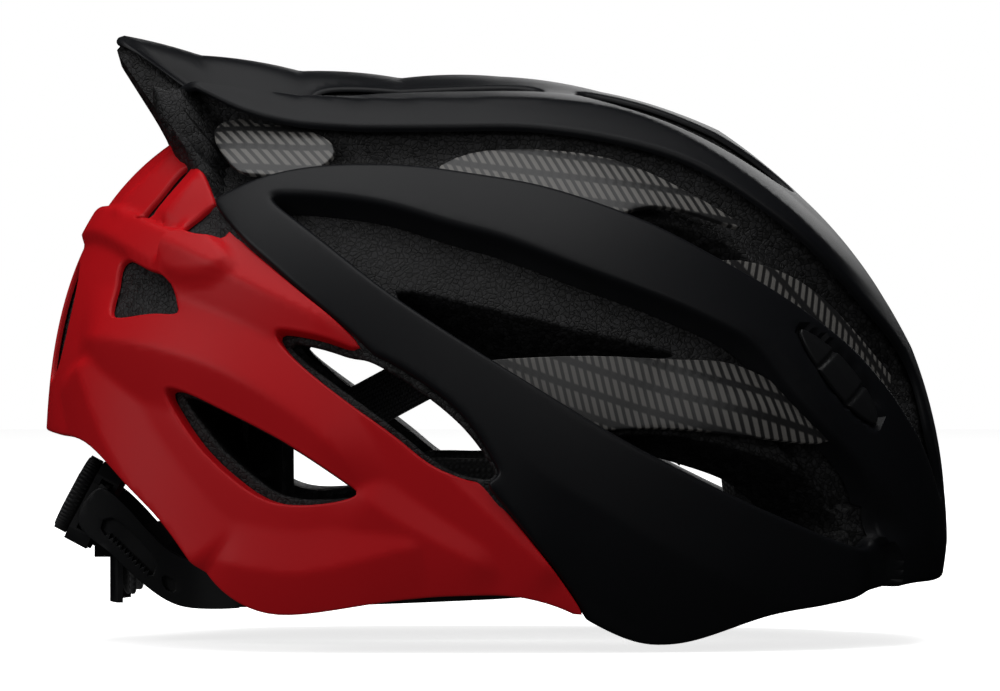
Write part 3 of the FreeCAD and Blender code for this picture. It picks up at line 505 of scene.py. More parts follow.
def black_top(P):
    d = map_to_direction(P)
    base = form_radius(d)
    across = base * np.abs(d[:, 1])
    x = CENTRE[0] + base * d[:, 0]
    turn = np.arctan2(d[:, 2], d[:, 0])
    spine = np.interp(turn, SPINE_TURN[::-1], SPINE_REACH[::-1])
    plane = np.stack([np.cos(turn), np.zeros_like(turn), np.sin(turn)], 1)
    lift = spine - form_radius(plane)
    tailward = ease(-x, -60, 70)
    width = 19 - 8 * ease(-x, 20, 100)
    share = np.clip(across / width, 0, 2)
    height = lift * np.exp(-(share ** 2.6) * 1.1)
    valley = np.exp(-((across - 23) / 10.0) ** 2) * tailward
    height -= 5.5 * valley
    off, _, along = near_line(P, CREST_MAP, False)
    rise = np.interp(along, np.linspace(0, 1, len(CREST_MAP)), CREST_REACH)
    near = np.array([rise, base])
    extra = np.maximum(near[0] - near[1], 0) * ease(-x, 5, 60)
    inner = off < 0
    span = np.where(inner, 15.0, 21.0)
    falloff = np.clip(1 - np.abs(off) / span, 0, 1)
    falloff = falloff ** np.where(inner, 1.3, 0.85)
    height += extra * falloff
    height += 2.6 * np.clip(1 - np.abs(off) / np.where(inner, 9.0, 12.0), 0, 1) * ease(-x, -125, -90)
    off, _, _ = near_line(P, RIB_FOLD, False)
    window, _, turn = near_line(P, SIDE_WINDOW)
    z = CENTRE[2] + base * d[:, 2]
    height -= (0.8 * np.clip(-off, 0, 9) * ease(x, 70, 95) * (turn < 0.56) * ease(z, 30, 42)
               * ease(15 - window, 0, 8))
    front, _, _ = near_line(P, BAND_FRONT, False)
    height -= 3.6 * ease(-front, 0, 1.5) * (1 - ease(-front, 8, 26)) * ease(x, 110, 122) * ease(36 - z, 0, 5)
    off, _, _ = near_line(P, BAND_FOLD, False)
    height -= 0.16 * np.clip(-off, 0, 26) * ease(x, 0, 30)
    return height


def black_with_seat(P):
    """The black skin with the almond-shaped seat for its trim insert."""
    off, _, _ = near_line(P, INSERT)
    return black_top(P) - 2.3 * ease(-off, 0, 0.9)


def black_bottom(P):
    """Thin over the foam, and deeper along the edges of the channel and the window."""
    top = black_with_seat(P)
    channel, _, share = near_line(P, UPPER_CHANNEL)
    window, _, turn = near_line(P, SIDE_WINDOW)
    under_rib = np.where(turn < 0.5, 7.2, 3.4) * ease(9 - np.abs(window), 0, 7)
    beside = np.where(share < 0.47, 0.6, 1.6) * ease(9 - np.abs(channel), 0, 7)
    return top - 1.7 - np.maximum(under_rib, beside)


# %% [markdown]
# The red rear skin sits a little lower than the black one. It is built of flat facets that meet in folds,
# each drawn as a line with a tent-shaped rise: the arrow on the cross bar, the loop round the lower
# opening, the two slanting bars under the tail, and the ridge down the back.

# %% Heights of the red skin
CROSS_BAR = drawn([(-140, 139), (-126, 138.5), (-107, 133), (-95, 129.5), (-86, 128), (-78, 118),
                   (-90, 112), (-102, 115), (-109, 118), (-117, 123), (-127, 128), (-140, 131)], True, 4)
FOLDS = [
    # line, rise, reach above, reach below, fade at the start, fade at the end
    ([(-102, 125), (-87, 118), (-69, 109), (-52, 101), (-41, 93)], 3.6, 12, 12, 0.02, 0.3),
    ([(-133, 96), (-118, 94.5), (-104, 92), (-87, 87), (-71, 79), (-56, 69), (-45, 58), (-40, 48)],
     4.4, 17, 15, 0.12, 0.25),
    ([(-131, 92), (-126, 77), (-119, 61), (-109, 46), (-98, 33), (-88, 24)], 3.6, 15, 17, 0.1, 0.1),
    ([(-92, 28.5), (-79, 26), (-57, 24), (-30, 31), (-17, 33)], 2.4, 13, 15, 0.25, 0.2),
    ([(-44, 52), (-36, 44), (-17, 33), (4, 22.5)], 2.0, 9, 15, 0.3, 0.2),
    ([(-52, 84), (-30, 68), (-16, 56), (2, 39), (22, 20)], 1.7, 5, 13, 0.2, 0.1),
    ([(-99, 158), (-109, 147), (-121, 136)], 2.4, 7, 7, 0.05, 0.2),
    ([(-91, 149), (-98, 141), (-105, 132)], 2.2, 6, 6, 0.05, 0.2),
]
FOLDS = [(drawn(line, False), *sizes) for line, *sizes in FOLDS]


def tent(P, line, rise, left, right, start=0.1, end=0.1):
    """A fold: highest on the line, falling to both sides and faded out at the ends."""
    off, _, along = near_line(P, line, False)
    share = np.abs(off) / np.where(off > 0, left, right)
    peak = np.sqrt(share ** 2 + 0.0004) - 0.02
    fade = ease(along, 0, start) * ease(1 - along, 0, end)
    return rise * fade * np.clip(1 - peak, 0, 1) ** 1.1


def red_top(P):
    height = np.max([tent(P, *fold) for fold in FOLDS], axis=0) - 2.6
    off, _, _ = near_line(P, CROSS_BAR)
    height = height + 2.6 * ease(-off, -0.6, 2.0)
    return height


def red_bottom(P):
    """Two millimetres thick, with deeper walls round the two large openings."""
    large = np.minimum(near_line(P, OPENING_A)[0], near_line(P, OPENING_B)[0])
    return red_top(P) - 1.8 - 2.6 * ease(7 - np.abs(large), 0, 6)


# %% [markdown]
# ## The foam liner and the panels
#
# The foam fills the room between the skins and the head. It lies deep in the channels, and radial holes lead
# through it. The twill panels bridge the channels: one on the tail, two in the upper channel and one in the
# side window, with a fold across it.

# %% Foam, panels and trim
HOLE_UPPER = drawn([(35, 136.5), (58, 139), (75, 133.5), (87, 126), (86, 121.5), (73, 121), (53, 130)])
HOLE_SIDE_REAR = drawn([(-34, 117), (-10, 113), (15, 107), (44, 100), (62, 95), (40, 94.5), (2, 92),
                        (-18, 103)])
HOLE_SIDE_FRONT = drawn([(38, 68), (60, 69), (84, 63), (104, 55), (116, 42), (117, 33), (100, 38),
                         (78, 47), (56, 58)])
HOLE_A = drawn([(-66, 97), (-58, 96), (-41, 91), (-25, 82), (-10, 70), (-1, 58), (0, 54), (-5, 53.5),
                (-18, 59), (-29, 68), (-45, 80), (-60, 91)])
HOLE_B = drawn([(-100, 79), (-96, 79), (-83, 73), (-64, 63), (-47, 51.5), (-45, 48.5), (-54, 47.5),
                (-64, 47.5), (-72, 50), (-80, 56), (-89, 64), (-96, 73)])
CROWN_FRONT = smooth_line(point_to_map([(28, -20, 175), (58, -19, 163), (84, -17, 147), (92, -22, 139),
                                        (84, -29, 144), (58, -34, 157), (30, -34, 169)]))
CROWN_REAR = smooth_line(point_to_map([(-58, -17, 178), (-30, -19, 178), (10, -20, 177),
                                       (12, -33, 173), (-28, -33, 174), (-56, -28, 172)]))
EXHAUST = smooth_line(point_to_map([(-132, -9, 118), (-131, -26, 114), (-136, -30, 96), (-139, -24, 84),
                                    (-140, -9, 84)]))


def point_x(P):
    d = map_to_direction(P)
    return CENTRE[0] + form_radius(d) * d[:, 0]


def foam_top(P):
    """The foam fills up to the skins, sinks in the channels and backs the fins at the tail."""
    outside_black = near_line(P, FOAM_UNDER_BLACK)[0]
    share = ease(outside_black, 0.5, 5.5)
    height = (black_bottom(P) - 0.5) * (1 - share) + (red_bottom(P) - 0.5) * share
    channel = near_line(P, UPPER_CHANNEL)[0] + 30 * ease(-point_x(P), 86, 98)
    floor = np.minimum(channel, near_line(P, SIDE_WINDOW)[0])
    depth = -2.3 - 7.6 * ease(-floor, -2.5, 1.5)
    return np.where(floor < 2.5, np.minimum(height, depth), height)


def foam_bottom(P):
    d = map_to_direction(P)
    return cavity_radius(d) - form_radius(d)


def to_head_room(points):
    """Carries the foam's top points to the head room's wall: level at the sides, radially elsewhere."""
    x, z = points[:, 0], points[:, 2]
    level = ease(x, -130, -60) * (1 - ease(x, 0, 60)) * ease(z, 10, 50)
    level *= 1 - ease(z + 0.75 * x, 62, 100)
    inward = CENTRE - points
    inward /= np.linalg.norm(inward, axis=1, keepdims=True)
    ray = inward * (1 - level[:, None]) + np.array([0.0, 1.0, 0.0]) * level[:, None]
    ray /= np.linalg.norm(ray, axis=1, keepdims=True)
    ray[np.abs(points[:, 1]) < 1e-4, 1] = 0
    start = (points - HEAD_MIDDLE) / HEAD_RADII
    run = ray / HEAD_RADII
    a, b, c = (run * run).sum(1), (run * start).sum(1), (start * start).sum(1) - 1
    reach = (-b - np.sqrt(np.clip(b * b - a * c, 0, None))) / a
    return points + ray * np.maximum(reach, 2.0)[:, None]


PANEL_UPPER = drawn([(-24, 147), (-12, 156), (2, 158), (20, 157.5), (39, 155), (58, 146.5), (84, 131),
                     (76, 133), (61, 138.5), (45, 140), (34, 133), (18, 139), (0, 143)], True, 3)
PANEL_FRONT = drawn([(66, 117), (70, 122), (78, 122.5), (92, 119), (105, 111), (117, 98), (127, 86),
                     (129, 84), (125, 79), (113, 88), (99, 97), (84, 106)], True, 3)
PANEL_SIDE = drawn([(-8, 92), (3, 93), (32, 95), (63, 92), (76, 92), (91, 84), (104, 73), (110, 63),
                    (91, 65), (69, 69), (47, 71), (33, 69), (18, 77)], True, 3)
PANEL_TAIL = drawn([(-90, 163), (-62, 163.5), (-51, 158.5), (-49.5, 153), (-60, 147), (-78, 146),
                    (-82, 149)], True, 3)
SIDE_FOLD = drawn([(56, 93), (79, 79), (100, 68), (112, 62)], False)


def panel_top(P):
    return np.full(len(P), -3.6)


def side_panel_top(P):
    return -7.5 + tent(P, SIDE_FOLD, 4.0, 20, 34, 0.5, 0.1)


def tail_panel_top(P):
    return np.full(len(P), -1.5) + 4.0 * ease(-point_x(P), 55, 95)


INSERT_GROOVES = [drawn([(98, 84), (104, 90), (110, 96)], False),
                  drawn([(108, 73), (113, 79), (119, 85)], False)]


def insert_top(P):
    """A low dome with two slanting grooves."""
    off, _, _ = near_line(P, INSERT)
    height = black_top(P) - 1.3 + 1.6 * np.sqrt(np.clip(-off / 7.0, 0, 1))
    for groove in INSERT_GROOVES:
        across, _, _ = near_line(P, groove, False)
        height -= 0.8 * np.exp(-(across / 0.8) ** 4)
    return height


# %% [markdown]
# ## Finishes
#
# Effects shared by several finishes are shader node groups: a fine moulded grain, the beads of expanded
# foam, a twill of light and dark tows, the ribs of webbing and the loops of a knitted pad cover. Each gives
# a height and a tone, and each material uses them with its own values. Patterns that follow a surface read
# its UV map, which is in decimetres; the others read object coordinates in metres.

# %% Node helpers


def node_group(name, inputs, outputs):
    tree = bpy.data.node_groups.new(name, "ShaderNodeTree")
    for label, value in inputs:
        socket = tree.interface.new_socket(name=label, in_out="INPUT", socket_type="NodeSocketFloat")
        socket.default_value = value
    for label in outputs:
        tree.interface.new_socket(name=label, in_out="OUTPUT", socket_type="NodeSocketFloat")
    return tree, tree.nodes.new("NodeGroupInput"), tree.nodes.new("NodeGroupOutput")


def add(tree, kind, inputs=None, **settings):
    node = tree.nodes.new(kind)
    for key, value in settings.items():
        setattr(node, key, value)
    for key, value in (inputs or {}).items():
        if isinstance(value, bpy.types.NodeSocket):
            tree.links.new(value, node.inputs[key])
        else:
            node.inputs[key].default_value = value
    return node


def maths(tree, operation, a, b=0.0, c=0.0):
    node = add(tree, "ShaderNodeMath", {0: a, 1: b, 2: c}, operation=operation)
    return node.outputs[0]


def between(tree, value, low, high):
    """0 below low, 1 above high."""
    node = add(tree, "ShaderNodeMapRange", {"Value": value, "From Min": low, "From Max": high},
               interpolation_type="SMOOTHSTEP")
    return node.outputs["Result"]


# %% Shared effects
def grain_group():
    tree, given, out = node_group("moulded_grain", [("Grain per metre", 5000.0)], ["Height", "Tone"])
    place = add(tree, "ShaderNodeTexCoord").outputs["Object"]
    fine = add(tree, "ShaderNodeTexNoise", {"Vector": place, "Scale": given.outputs[0], "Detail": 2.0})
    broad = add(tree, "ShaderNodeTexNoise", {"Vector": place, "Scale": 22.0, "Detail": 3.0})
    tree.links.new(fine.outputs["Fac"], out.inputs["Height"])
    tree.links.new(broad.outputs["Fac"], out.inputs["Tone"])
    return tree


def bead_group():
    tree, given, out = node_group("foam_beads", [("Beads per metre", 620.0)], ["Height", "Tone"])
    place = add(tree, "ShaderNodeTexCoord").outputs["Object"]
    warp = add(tree, "ShaderNodeTexNoise", {"Vector": place, "Scale": 260.0, "Detail": 2.0})
    moved = add(tree, "ShaderNodeMix", {0: 0.0018, 4: place, 5: warp.outputs["Color"]}, data_type="VECTOR")
    edge = add(tree, "ShaderNodeTexVoronoi", {"Vector": moved.outputs[1], "Scale": given.outputs[0]},
               feature="DISTANCE_TO_EDGE")
    cell = add(tree, "ShaderNodeTexVoronoi", {"Vector": moved.outputs[1], "Scale": given.outputs[0]})
    seam = between(tree, edge.outputs["Distance"], -0.08, 0.2)
    shade = add(tree, "ShaderNodeSeparateColor", {"Color": cell.outputs["Color"]})
    tone = maths(tree, "MULTIPLY_ADD", shade.outputs[0], 0.6, 0.2)
    tree.links.new(seam, out.inputs["Height"])
    tree.links.new(maths(tree, "MULTIPLY", tone, seam), out.inputs["Tone"])
    return tree


def twill_group():
    """Rows of slanting light tows over dark ones."""
    tree, given, out = node_group("twill", [("Tow mm", 2.9), ("Row mm", 7.2)], ["Light", "Height"])
    uv = add(tree, "ShaderNodeUVMap", uv_map="UVMap").outputs["UV"]
    parts = add(tree, "ShaderNodeSeparateXYZ", {0: uv})
    along = maths(tree, "MULTIPLY", parts.outputs[0], 100.0)
    across = maths(tree, "MULTIPLY", parts.outputs[1], 100.0)
    row = maths(tree, "DIVIDE", across, given.outputs["Row mm"])
    in_row = maths(tree, "FRACT", row)
    lean = maths(tree, "MULTIPLY", in_row, 1.75)
    shift = maths(tree, "MULTIPLY_ADD", maths(tree, "FLOOR", row), 0.45, lean)
    tows = maths(tree, "DIVIDE", along, given.outputs["Tow mm"])
    tow = maths(tree, "FRACT", maths(tree, "ADD", tows, shift))
    from_middle = maths(tree, "ABSOLUTE", maths(tree, "SUBTRACT", tow, 0.5))
    side = maths(tree, "SUBTRACT", 1.0, between(tree, from_middle, 0.2, 0.34))
    ends = maths(tree, "ABSOLUTE", maths(tree, "SUBTRACT", in_row, 0.5))
    body = maths(tree, "SUBTRACT", 1.0, between(tree, ends, 0.3, 0.4))
    light = maths(tree, "MULTIPLY", side, body)
    threads = maths(tree, "SINE", maths(tree, "MULTIPLY", along, 14.0))
    crown = maths(tree, "SUBTRACT", 0.5, from_middle)
    height = maths(tree, "ADD", crown, maths(tree, "MULTIPLY", threads, 0.05))
    tree.links.new(light, out.inputs["Light"])
    tree.links.new(height, out.inputs["Height"])
    return tree


def webbing_group():
    tree, given, out = node_group("webbing_weave", [("Rib mm", 1.3)], ["Height", "Tone"])
    uv = add(tree, "ShaderNodeUVMap", uv_map="UVMap").outputs["UV"]
    parts = add(tree, "ShaderNodeSeparateXYZ", {0: uv})
    along = maths(tree, "MULTIPLY", parts.outputs[0], 100.0)
    across = maths(tree, "MULTIPLY", parts.outputs[1], 100.0)
    turn = maths(tree, "DIVIDE", 2 * math.pi, given.outputs[0])
    rib = maths(tree, "SINE", maths(tree, "MULTIPLY", across, turn))
    chevron = maths(tree, "ADD", maths(tree, "MULTIPLY", along, 6.0), maths(tree, "MULTIPLY", rib, 1.2))
    pick = maths(tree, "SINE", chevron)
    height = maths(tree, "MULTIPLY_ADD", pick, 0.3, maths(tree, "MULTIPLY", rib, 0.5))
    tree.links.new(height, out.inputs["Height"])
    tree.links.new(between(tree, height, -0.8, 0.8), out.inputs["Tone"])
    return tree


def knit_group():
    tree, given, out = node_group("knit_loops", [("Loops per metre", 1100.0)], ["Height", "Tone"])
    place = add(tree, "ShaderNodeTexCoord").outputs["Object"]
    parts = add(tree, "ShaderNodeSeparateXYZ", {0: place})
    scale = maths(tree, "MULTIPLY", given.outputs[0], math.pi)
    waves = [maths(tree, "SINE", maths(tree, "MULTIPLY", parts.outputs[k], scale)) for k in range(3)]
    pairs = [maths(tree, "MULTIPLY", waves[k], waves[(k + 1) % 3]) for k in range(3)]
    loops = maths(tree, "ADD", maths(tree, "ADD", pairs[0], pairs[1]), pairs[2])
    fuzz = add(tree, "ShaderNodeTexNoise", {"Vector": place, "Scale": 2600.0, "Detail": 3.0}).outputs["Fac"]
    height = maths(tree, "MULTIPLY_ADD", loops, 0.35, fuzz)
    tree.links.new(height, out.inputs["Height"])
    tree.links.new(between(tree, height, 0.0, 1.2), out.inputs["Tone"])
    return tree


def edge_sheen_group():
    """Convex edges painted lighter in patches: a painted sheen, the highlight along the edges."""
    tree, given, out = node_group("edge_painted_sheen", [("Spread", 0.08)], ["Mask"])
    point = add(tree, "ShaderNodeNewGeometry").outputs["Pointiness"]
    sheen_node = add(tree, "ShaderNodeTexNoise",
              {"Vector": add(tree, "ShaderNodeTexCoord").outputs["Object"], "Scale": 90.0, "Detail": 3.0})
    edge = between(tree, point, 0.52, maths(tree, "ADD", given.outputs[0], 0.52))
    tree.links.new(maths(tree, "MULTIPLY", edge, sheen_node.outputs["Fac"]), out.inputs["Mask"])
    return tree


GRAIN, BEADS, TWILL, WEBBING, KNIT, EDGE = (make() for make in (
    grain_group, bead_group, twill_group, webbing_group, knit_group, edge_sheen_group))
print("shared effects:", [tree.name for tree in (GRAIN, BEADS, TWILL, WEBBING, KNIT, EDGE)])

# %% [markdown]
# Each finish mixes two colours by a group's tone and raises its bump from the group's height. The numbers
# that are the same all over a surface, such as sheen or coat, are set on the shader itself.

# %% Materials


def finish(name, effect, tone, height, dark, light, roughness, bump, distance, edge=0.0, values=None,
           **sockets):
    """A material from one shared effect: dark and light are linear colours."""
    material = bpy.data.materials.new(name)
    material.use_nodes = True
    tree = material.node_tree
    shader = tree.nodes["Principled BSDF"]
    pattern = add(tree, "ShaderNodeGroup", node_tree=effect)
    for key, value in (values or {}).items():
        pattern.inputs[key].default_value = value
    colour = add(tree, "ShaderNodeMix", {6: (*dark, 1), 7: (*light, 1)}, data_type="RGBA")
    tree.links.new(pattern.outputs[tone], colour.inputs[0])
    result = colour.outputs[2]
    # Where edge is given, convex edges are painted lighter grey by that much: a painted sheen along the
    # edges.
    if edge:
        sheen_node = add(tree, "ShaderNodeGroup", node_tree=EDGE)
        amount = maths(tree, "MULTIPLY", sheen_node.outputs[0], edge)
        with_painted_sheen = add(tree, "ShaderNodeMix", {0: amount, 6: result, 7: (0.22, 0.22, 0.22, 1)}, data_type="RGBA")
        result = with_painted_sheen.outputs[2]
    tree.links.new(result, shader.inputs["Base Color"])
    low, high = roughness
    rough = add(tree, "ShaderNodeMapRange", {"Value": pattern.outputs[tone], "To Min": low, "To Max": high})
    tree.links.new(rough.outputs["Result"], shader.inputs["Roughness"])
    bumped = add(tree, "ShaderNodeBump", {"Height": pattern.outputs[height], "Strength": bump,
                                          "Distance": distance})
    tree.links.new(bumped.outputs["Normal"], shader.inputs["Normal"])
    for key, value in sockets.items():
        shader.inputs[key.replace("_", " ")].default_value = value
    return material


# The tenth value, where given, is the strength of the painted sheen on convex edges: black and red skins,
# trim, fit plastic and dial rubber.
FINISH = {
    "black_shell": finish("matte_black_skin", GRAIN, "Tone", "Height", (0.0048, 0.0052, 0.0064),
                          (0.0075, 0.008, 0.0098), (0.36, 0.44), 0.12, 0.0002, 0.06,
                          {"Grain per metre": 5200.0}, Specular_IOR_Level=0.26),
    "red_shell": finish("matte_red_skin", GRAIN, "Tone", "Height", (0.5, 0.0035, 0.007),
                        (0.57, 0.0045, 0.0095), (0.38, 0.46), 0.12, 0.0002, 0.04,
                        {"Grain per metre": 5200.0}, Specular_IOR_Level=0.22),
    "foam": finish("bead_foam", BEADS, "Tone", "Height", (0.003, 0.003, 0.0031), (0.036, 0.036, 0.038),
                   (0.42, 0.75), 0.5, 0.0004, Specular_IOR_Level=0.3),
    "carbon": finish("woven_twill", TWILL, "Light", "Height", (0.014, 0.014, 0.0145),
                     (0.12, 0.115, 0.108), (0.32, 0.42), 0.35, 0.0002, Coat_Weight=0.14,
                     Coat_Roughness=0.2),
    "trim": finish("satin_trim", GRAIN, "Tone", "Height", (0.008, 0.0083, 0.009), (0.012, 0.0125, 0.0135),
                   (0.3, 0.38), 0.1, 0.0002, 0.08, Specular_IOR_Level=0.35),
    "fit_plastic": finish("fit_system_plastic", GRAIN, "Tone", "Height", (0.006, 0.0063, 0.007),
                          (0.011, 0.0115, 0.013), (0.34, 0.46), 0.2, 0.0002, 0.12,
                          {"Grain per metre": 3200.0}, Specular_IOR_Level=0.3),
    "dial_rubber": finish("dial_rubber", GRAIN, "Tone", "Height", (0.010, 0.0102, 0.011),
                          (0.016, 0.0165, 0.018), (0.5, 0.62), 0.35, 0.0002, 0.1,
                          {"Grain per metre": 2600.0}, Specular_IOR_Level=0.35),
    "steel": finish("bright_screw_steel", GRAIN, "Tone", "Height", (0.42, 0.43, 0.45),
                    (0.55, 0.56, 0.58), (0.22, 0.34), 0.1, 0.0001, Metallic=1.0),
    "webbing": finish("ribbed_webbing", WEBBING, "Tone", "Height", (0.010, 0.0102, 0.011),
                      (0.055, 0.056, 0.06), (0.6, 0.85), 0.8, 0.0004, Sheen_Weight=0.25),
    "pad": finish("knitted_pad_cover", KNIT, "Tone", "Height", (0.008, 0.0082, 0.009),
                  (0.036, 0.037, 0.04), (0.75, 0.95), 0.8, 0.0004, Sheen_Weight=0.35),
    "thread": finish("grey_thread", GRAIN, "Tone", "Height", (0.05, 0.05, 0.052),
                     (0.09, 0.09, 0.093), (0.6, 0.75), 0.2, 0.0002),
}
print("finishes:", ", ".join(FINISH))

# %% [markdown]
# ## The skins, liner and panels
#
# Each shell is built from its outlines and heights, given its finish, tied to the helmet body, and set in
# place of the frame's plainer solid.

# %% Place a finished piece
HELMET, CRADLE, DIAL_BODY = "helmet", "cradle", "dial"


def place(piece, body, slot, *nodes):
    """Ties a piece to its body, gives it the slot's finish where it has none, and hides the solids that it
    stands for.
    """
    if not piece.data.materials:
        piece.data.materials.append(FINISH[slot])
    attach(piece, body)
    if nodes:
        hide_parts(*nodes)
    return piece


def without(line, inset=1.6):
    return keep_inside(line, inset, True)


# %% Skins
xyz, faces, uv = shell(1.7, [keep_inside(ABOVE_HEM, 1.6), keep_inside(BLACK_REGION, 1.6),
                             without(UPPER_CHANNEL), without(SIDE_WINDOW), without(OPENING_A),
                             without(CROWN_FRONT), without(CROWN_REAR)], black_with_seat, black_bottom,
                       creases=[CREST_MAP, RIB_FOLD, BAND_FOLD])
black_skin = place(to_object("black_skin", xyz, faces, uv, FINISH["black_shell"]), HELMET, "black_shell",
                   "black_shell", "tail_fin", "side_fin_left", "side_fin_right")
xyz, faces, uv = shell(1.7, [keep_inside(ABOVE_HEM, 0.9), keep_inside(NOT_RED, 1.1, True),
                             without(OPENING_A, 0.9), without(OPENING_B, 0.9), without(WINDOW_C, 0.9),
                             without(OPENING_D, 0.9), without(SLOT_E, 0.6), without(EXHAUST, 0.9)],
                       red_top, red_bottom, roll=0.9, creases=[line for line, *_ in FOLDS])
red_skin = place(to_object("red_skin", xyz, faces, uv, FINISH["red_shell"]), HELMET, "red_shell", "red_shell")

# %% Foam liner
xyz, faces, uv = shell(2.1, [keep_inside(ABOVE_HEM, 2.2)]
                       + [without(hole, 1.0) for hole in (HOLE_UPPER, HOLE_SIDE_REAR, HOLE_SIDE_FRONT, HOLE_A,
                                                          HOLE_B, CROWN_FRONT, CROWN_REAR, EXHAUST)],
                       foam_top, foam_bottom, roll=1.0, wall_steps=6, sink=to_head_room)
foam = place(to_object("foam_body", xyz, faces, uv, FINISH["foam"]), HELMET, "foam", "foam_liner")

# %% Panels and inserts


def mirrored(xyz, faces):
    return xyz * np.array([1, -1, 1]), faces[:, ::-1]


def turned(uv, degrees):
    """The pattern's own direction on a panel."""
    c, s = math.cos(math.radians(degrees)), math.sin(math.radians(degrees))
    return uv @ np.array([[c, -s], [s, c]])


def both_sides(name, node, slot, step, outline, inset, roll, top, thickness, degrees=0.0):
    xyz, faces, uv = shell(step, [keep_inside(outline, inset)], top, lambda P: top(P) - thickness,
                           roll=roll, both=False, creases=[SIDE_FOLD])
    uv = turned(uv, degrees)
    for side, (points, loops) in (("right", (xyz, faces)), ("left", mirrored(xyz, faces))):
        piece = to_object("%s_%s" % (name, side), points, loops, uv, FINISH[slot])
        place(piece, HELMET, slot, "%s_%s" % (node, side))


both_sides("upper_bridge", "carbon_upper", "carbon", 1.6, PANEL_UPPER, 0.4, 0.4, panel_top, 1.3, -8)
both_sides("front_bridge", "carbon_front", "carbon", 1.6, PANEL_FRONT, 0.4, 0.4, panel_top, 1.3, -48)
both_sides("side_bridge", "carbon_side", "carbon", 1.6, PANEL_SIDE, 0.4, 0.4, side_panel_top, 1.3, -20)
both_sides("tail_bridge", "carbon_tail", "carbon", 1.6, PANEL_TAIL, 0.4, 0.4, tail_panel_top, 1.3, 8)
both_sides("almond_insert", "rib_insert", "trim", 0.55, INSERT, 2.1, 0.5, insert_top, 1.0)

# %% [markdown]
# ## Webbing
#
# Flat straps lie against the head's room. Each is swept along its run as a closed band with rounded edges,
# and its UV map runs along and across it so that the woven ribs follow the strap.

# %% Sweep the straps
WEB_WIDTH, WEB_NEAR, WEB_DEEP = 15.0, 0.45, 1.95


def on_cavity(flat, axis, depth):
    """Point on the head room's wall above a flat (x, z) or (x, y) place, depth inside it."""
    radii = HEAD_RADII - np.broadcast_to(depth, (len(flat), 1))
    point = np.zeros((len(flat), 3))
    if axis == 1:
        point[:, 0], point[:, 2] = flat[:, 0], flat[:, 1]
    else:
        point[:, 0], point[:, 1] = flat[:, 0], flat[:, 1]
    share = (point - HEAD_MIDDLE) / radii
    share[:, axis] = 0
    point[:, axis] = HEAD_MIDDLE[axis] + radii[:, axis] * np.sqrt(np.clip(1 - (share ** 2).sum(1), 0, None))
    return point


def strap(name, node, start, end, axis):
    start, end = np.array(start, float), np.array(end, float)
    run = end - start
    reach = np.hypot(*run)
    across = np.array([-run[1], run[0]]) / reach
    around = np.linspace(0, 2 * math.pi, 36, endpoint=False)
    wide = np.sign(np.cos(around)) * np.abs(np.cos(around)) ** 0.35 * WEB_WIDTH / 2
    thick = (WEB_NEAR + WEB_DEEP) / 2 + np.sign(np.sin(around)) * np.abs(np.sin(around)) ** 0.5 * (
        WEB_DEEP - WEB_NEAR) / 2
    count = int(reach / 1.2)
    rings = []
    uvs = []
    for k in range(count + 1):
        at = start + run * k / count
        flat = at[None, :] + across[None, :] * wide[:, None]
        rings.append(on_cavity(flat, axis, thick[:, None]))
        uvs.append(np.stack([np.full(36, reach * k / count), wide], 1))
    xyz = np.concatenate(rings)
    uv = np.concatenate(uvs)
    faces = []
    for k in range(count):
        for j in range(36):
            a, b = k * 36 + j, k * 36 + (j + 1) % 36
            faces += [(a, b, b + 36), (a, b + 36, a + 36)]
    for base, flip in ((0, 1), (count * 36, -1)):
        middle = len(xyz)
        xyz = np.concatenate([xyz, xyz[base:base + 36].mean(0, keepdims=True)])
        uv = np.concatenate([uv, uv[base:base + 36].mean(0, keepdims=True)])
        faces += [(base + (j + 1) % 36, base + j, middle)[::flip] for j in range(36)]
    faces = np.array(faces)
    for side, (points, loops) in (("left", (xyz, faces)), ("right", mirrored(xyz, faces))):
        piece = to_object("%s_%s" % (name, side), points, loops, uv, FINISH["webbing"])
        place(piece, HELMET, "webbing", "%s_%s" % (node, side))


strap("webbing_front", "strap_front", (62, 62), (29, 88), 1)
strap("webbing_rear", "strap_rear", (-52, 68), (-13, 89), 1)
strap("webbing_chin", "chin_strap", (9, 23), (9, 52), 2)

# %% [markdown]
# ## Stitches
#
# Short threads follow a line. A Geometry Nodes tree spreads points along the line at an even spacing, sets a
# small thread on each, turned along the line, and the result is turned into a plain mesh.

# %% Build the stitch tree


def geometry_tree(name, inputs):
    tree = bpy.data.node_groups.new(name, "GeometryNodeTree")
    tree.interface.new_socket(name="Geometry", in_out="INPUT", socket_type="NodeSocketGeometry")
    for label, value in inputs:
        kind = "NodeSocketInt" if isinstance(value, int) else "NodeSocketFloat"
        tree.interface.new_socket(name=label, in_out="INPUT", socket_type=kind).default_value = value
    tree.interface.new_socket(name="Finish", in_out="INPUT", socket_type="NodeSocketMaterial")
    tree.interface.new_socket(name="Geometry", in_out="OUTPUT", socket_type="NodeSocketGeometry")
    return tree, tree.nodes.new("NodeGroupInput"), tree.nodes.new("NodeGroupOutput")


def finish_tree(tree, given, out, geometry):
    real = add(tree, "GeometryNodeRealizeInstances", {"Geometry": geometry})
    smooth = add(tree, "GeometryNodeSetShadeSmooth", {"Geometry": real.outputs[0]})
    painted = add(tree, "GeometryNodeSetMaterial",
                  {"Geometry": smooth.outputs[0], "Material": given.outputs["Finish"]})
    tree.links.new(painted.outputs[0], out.inputs[0])


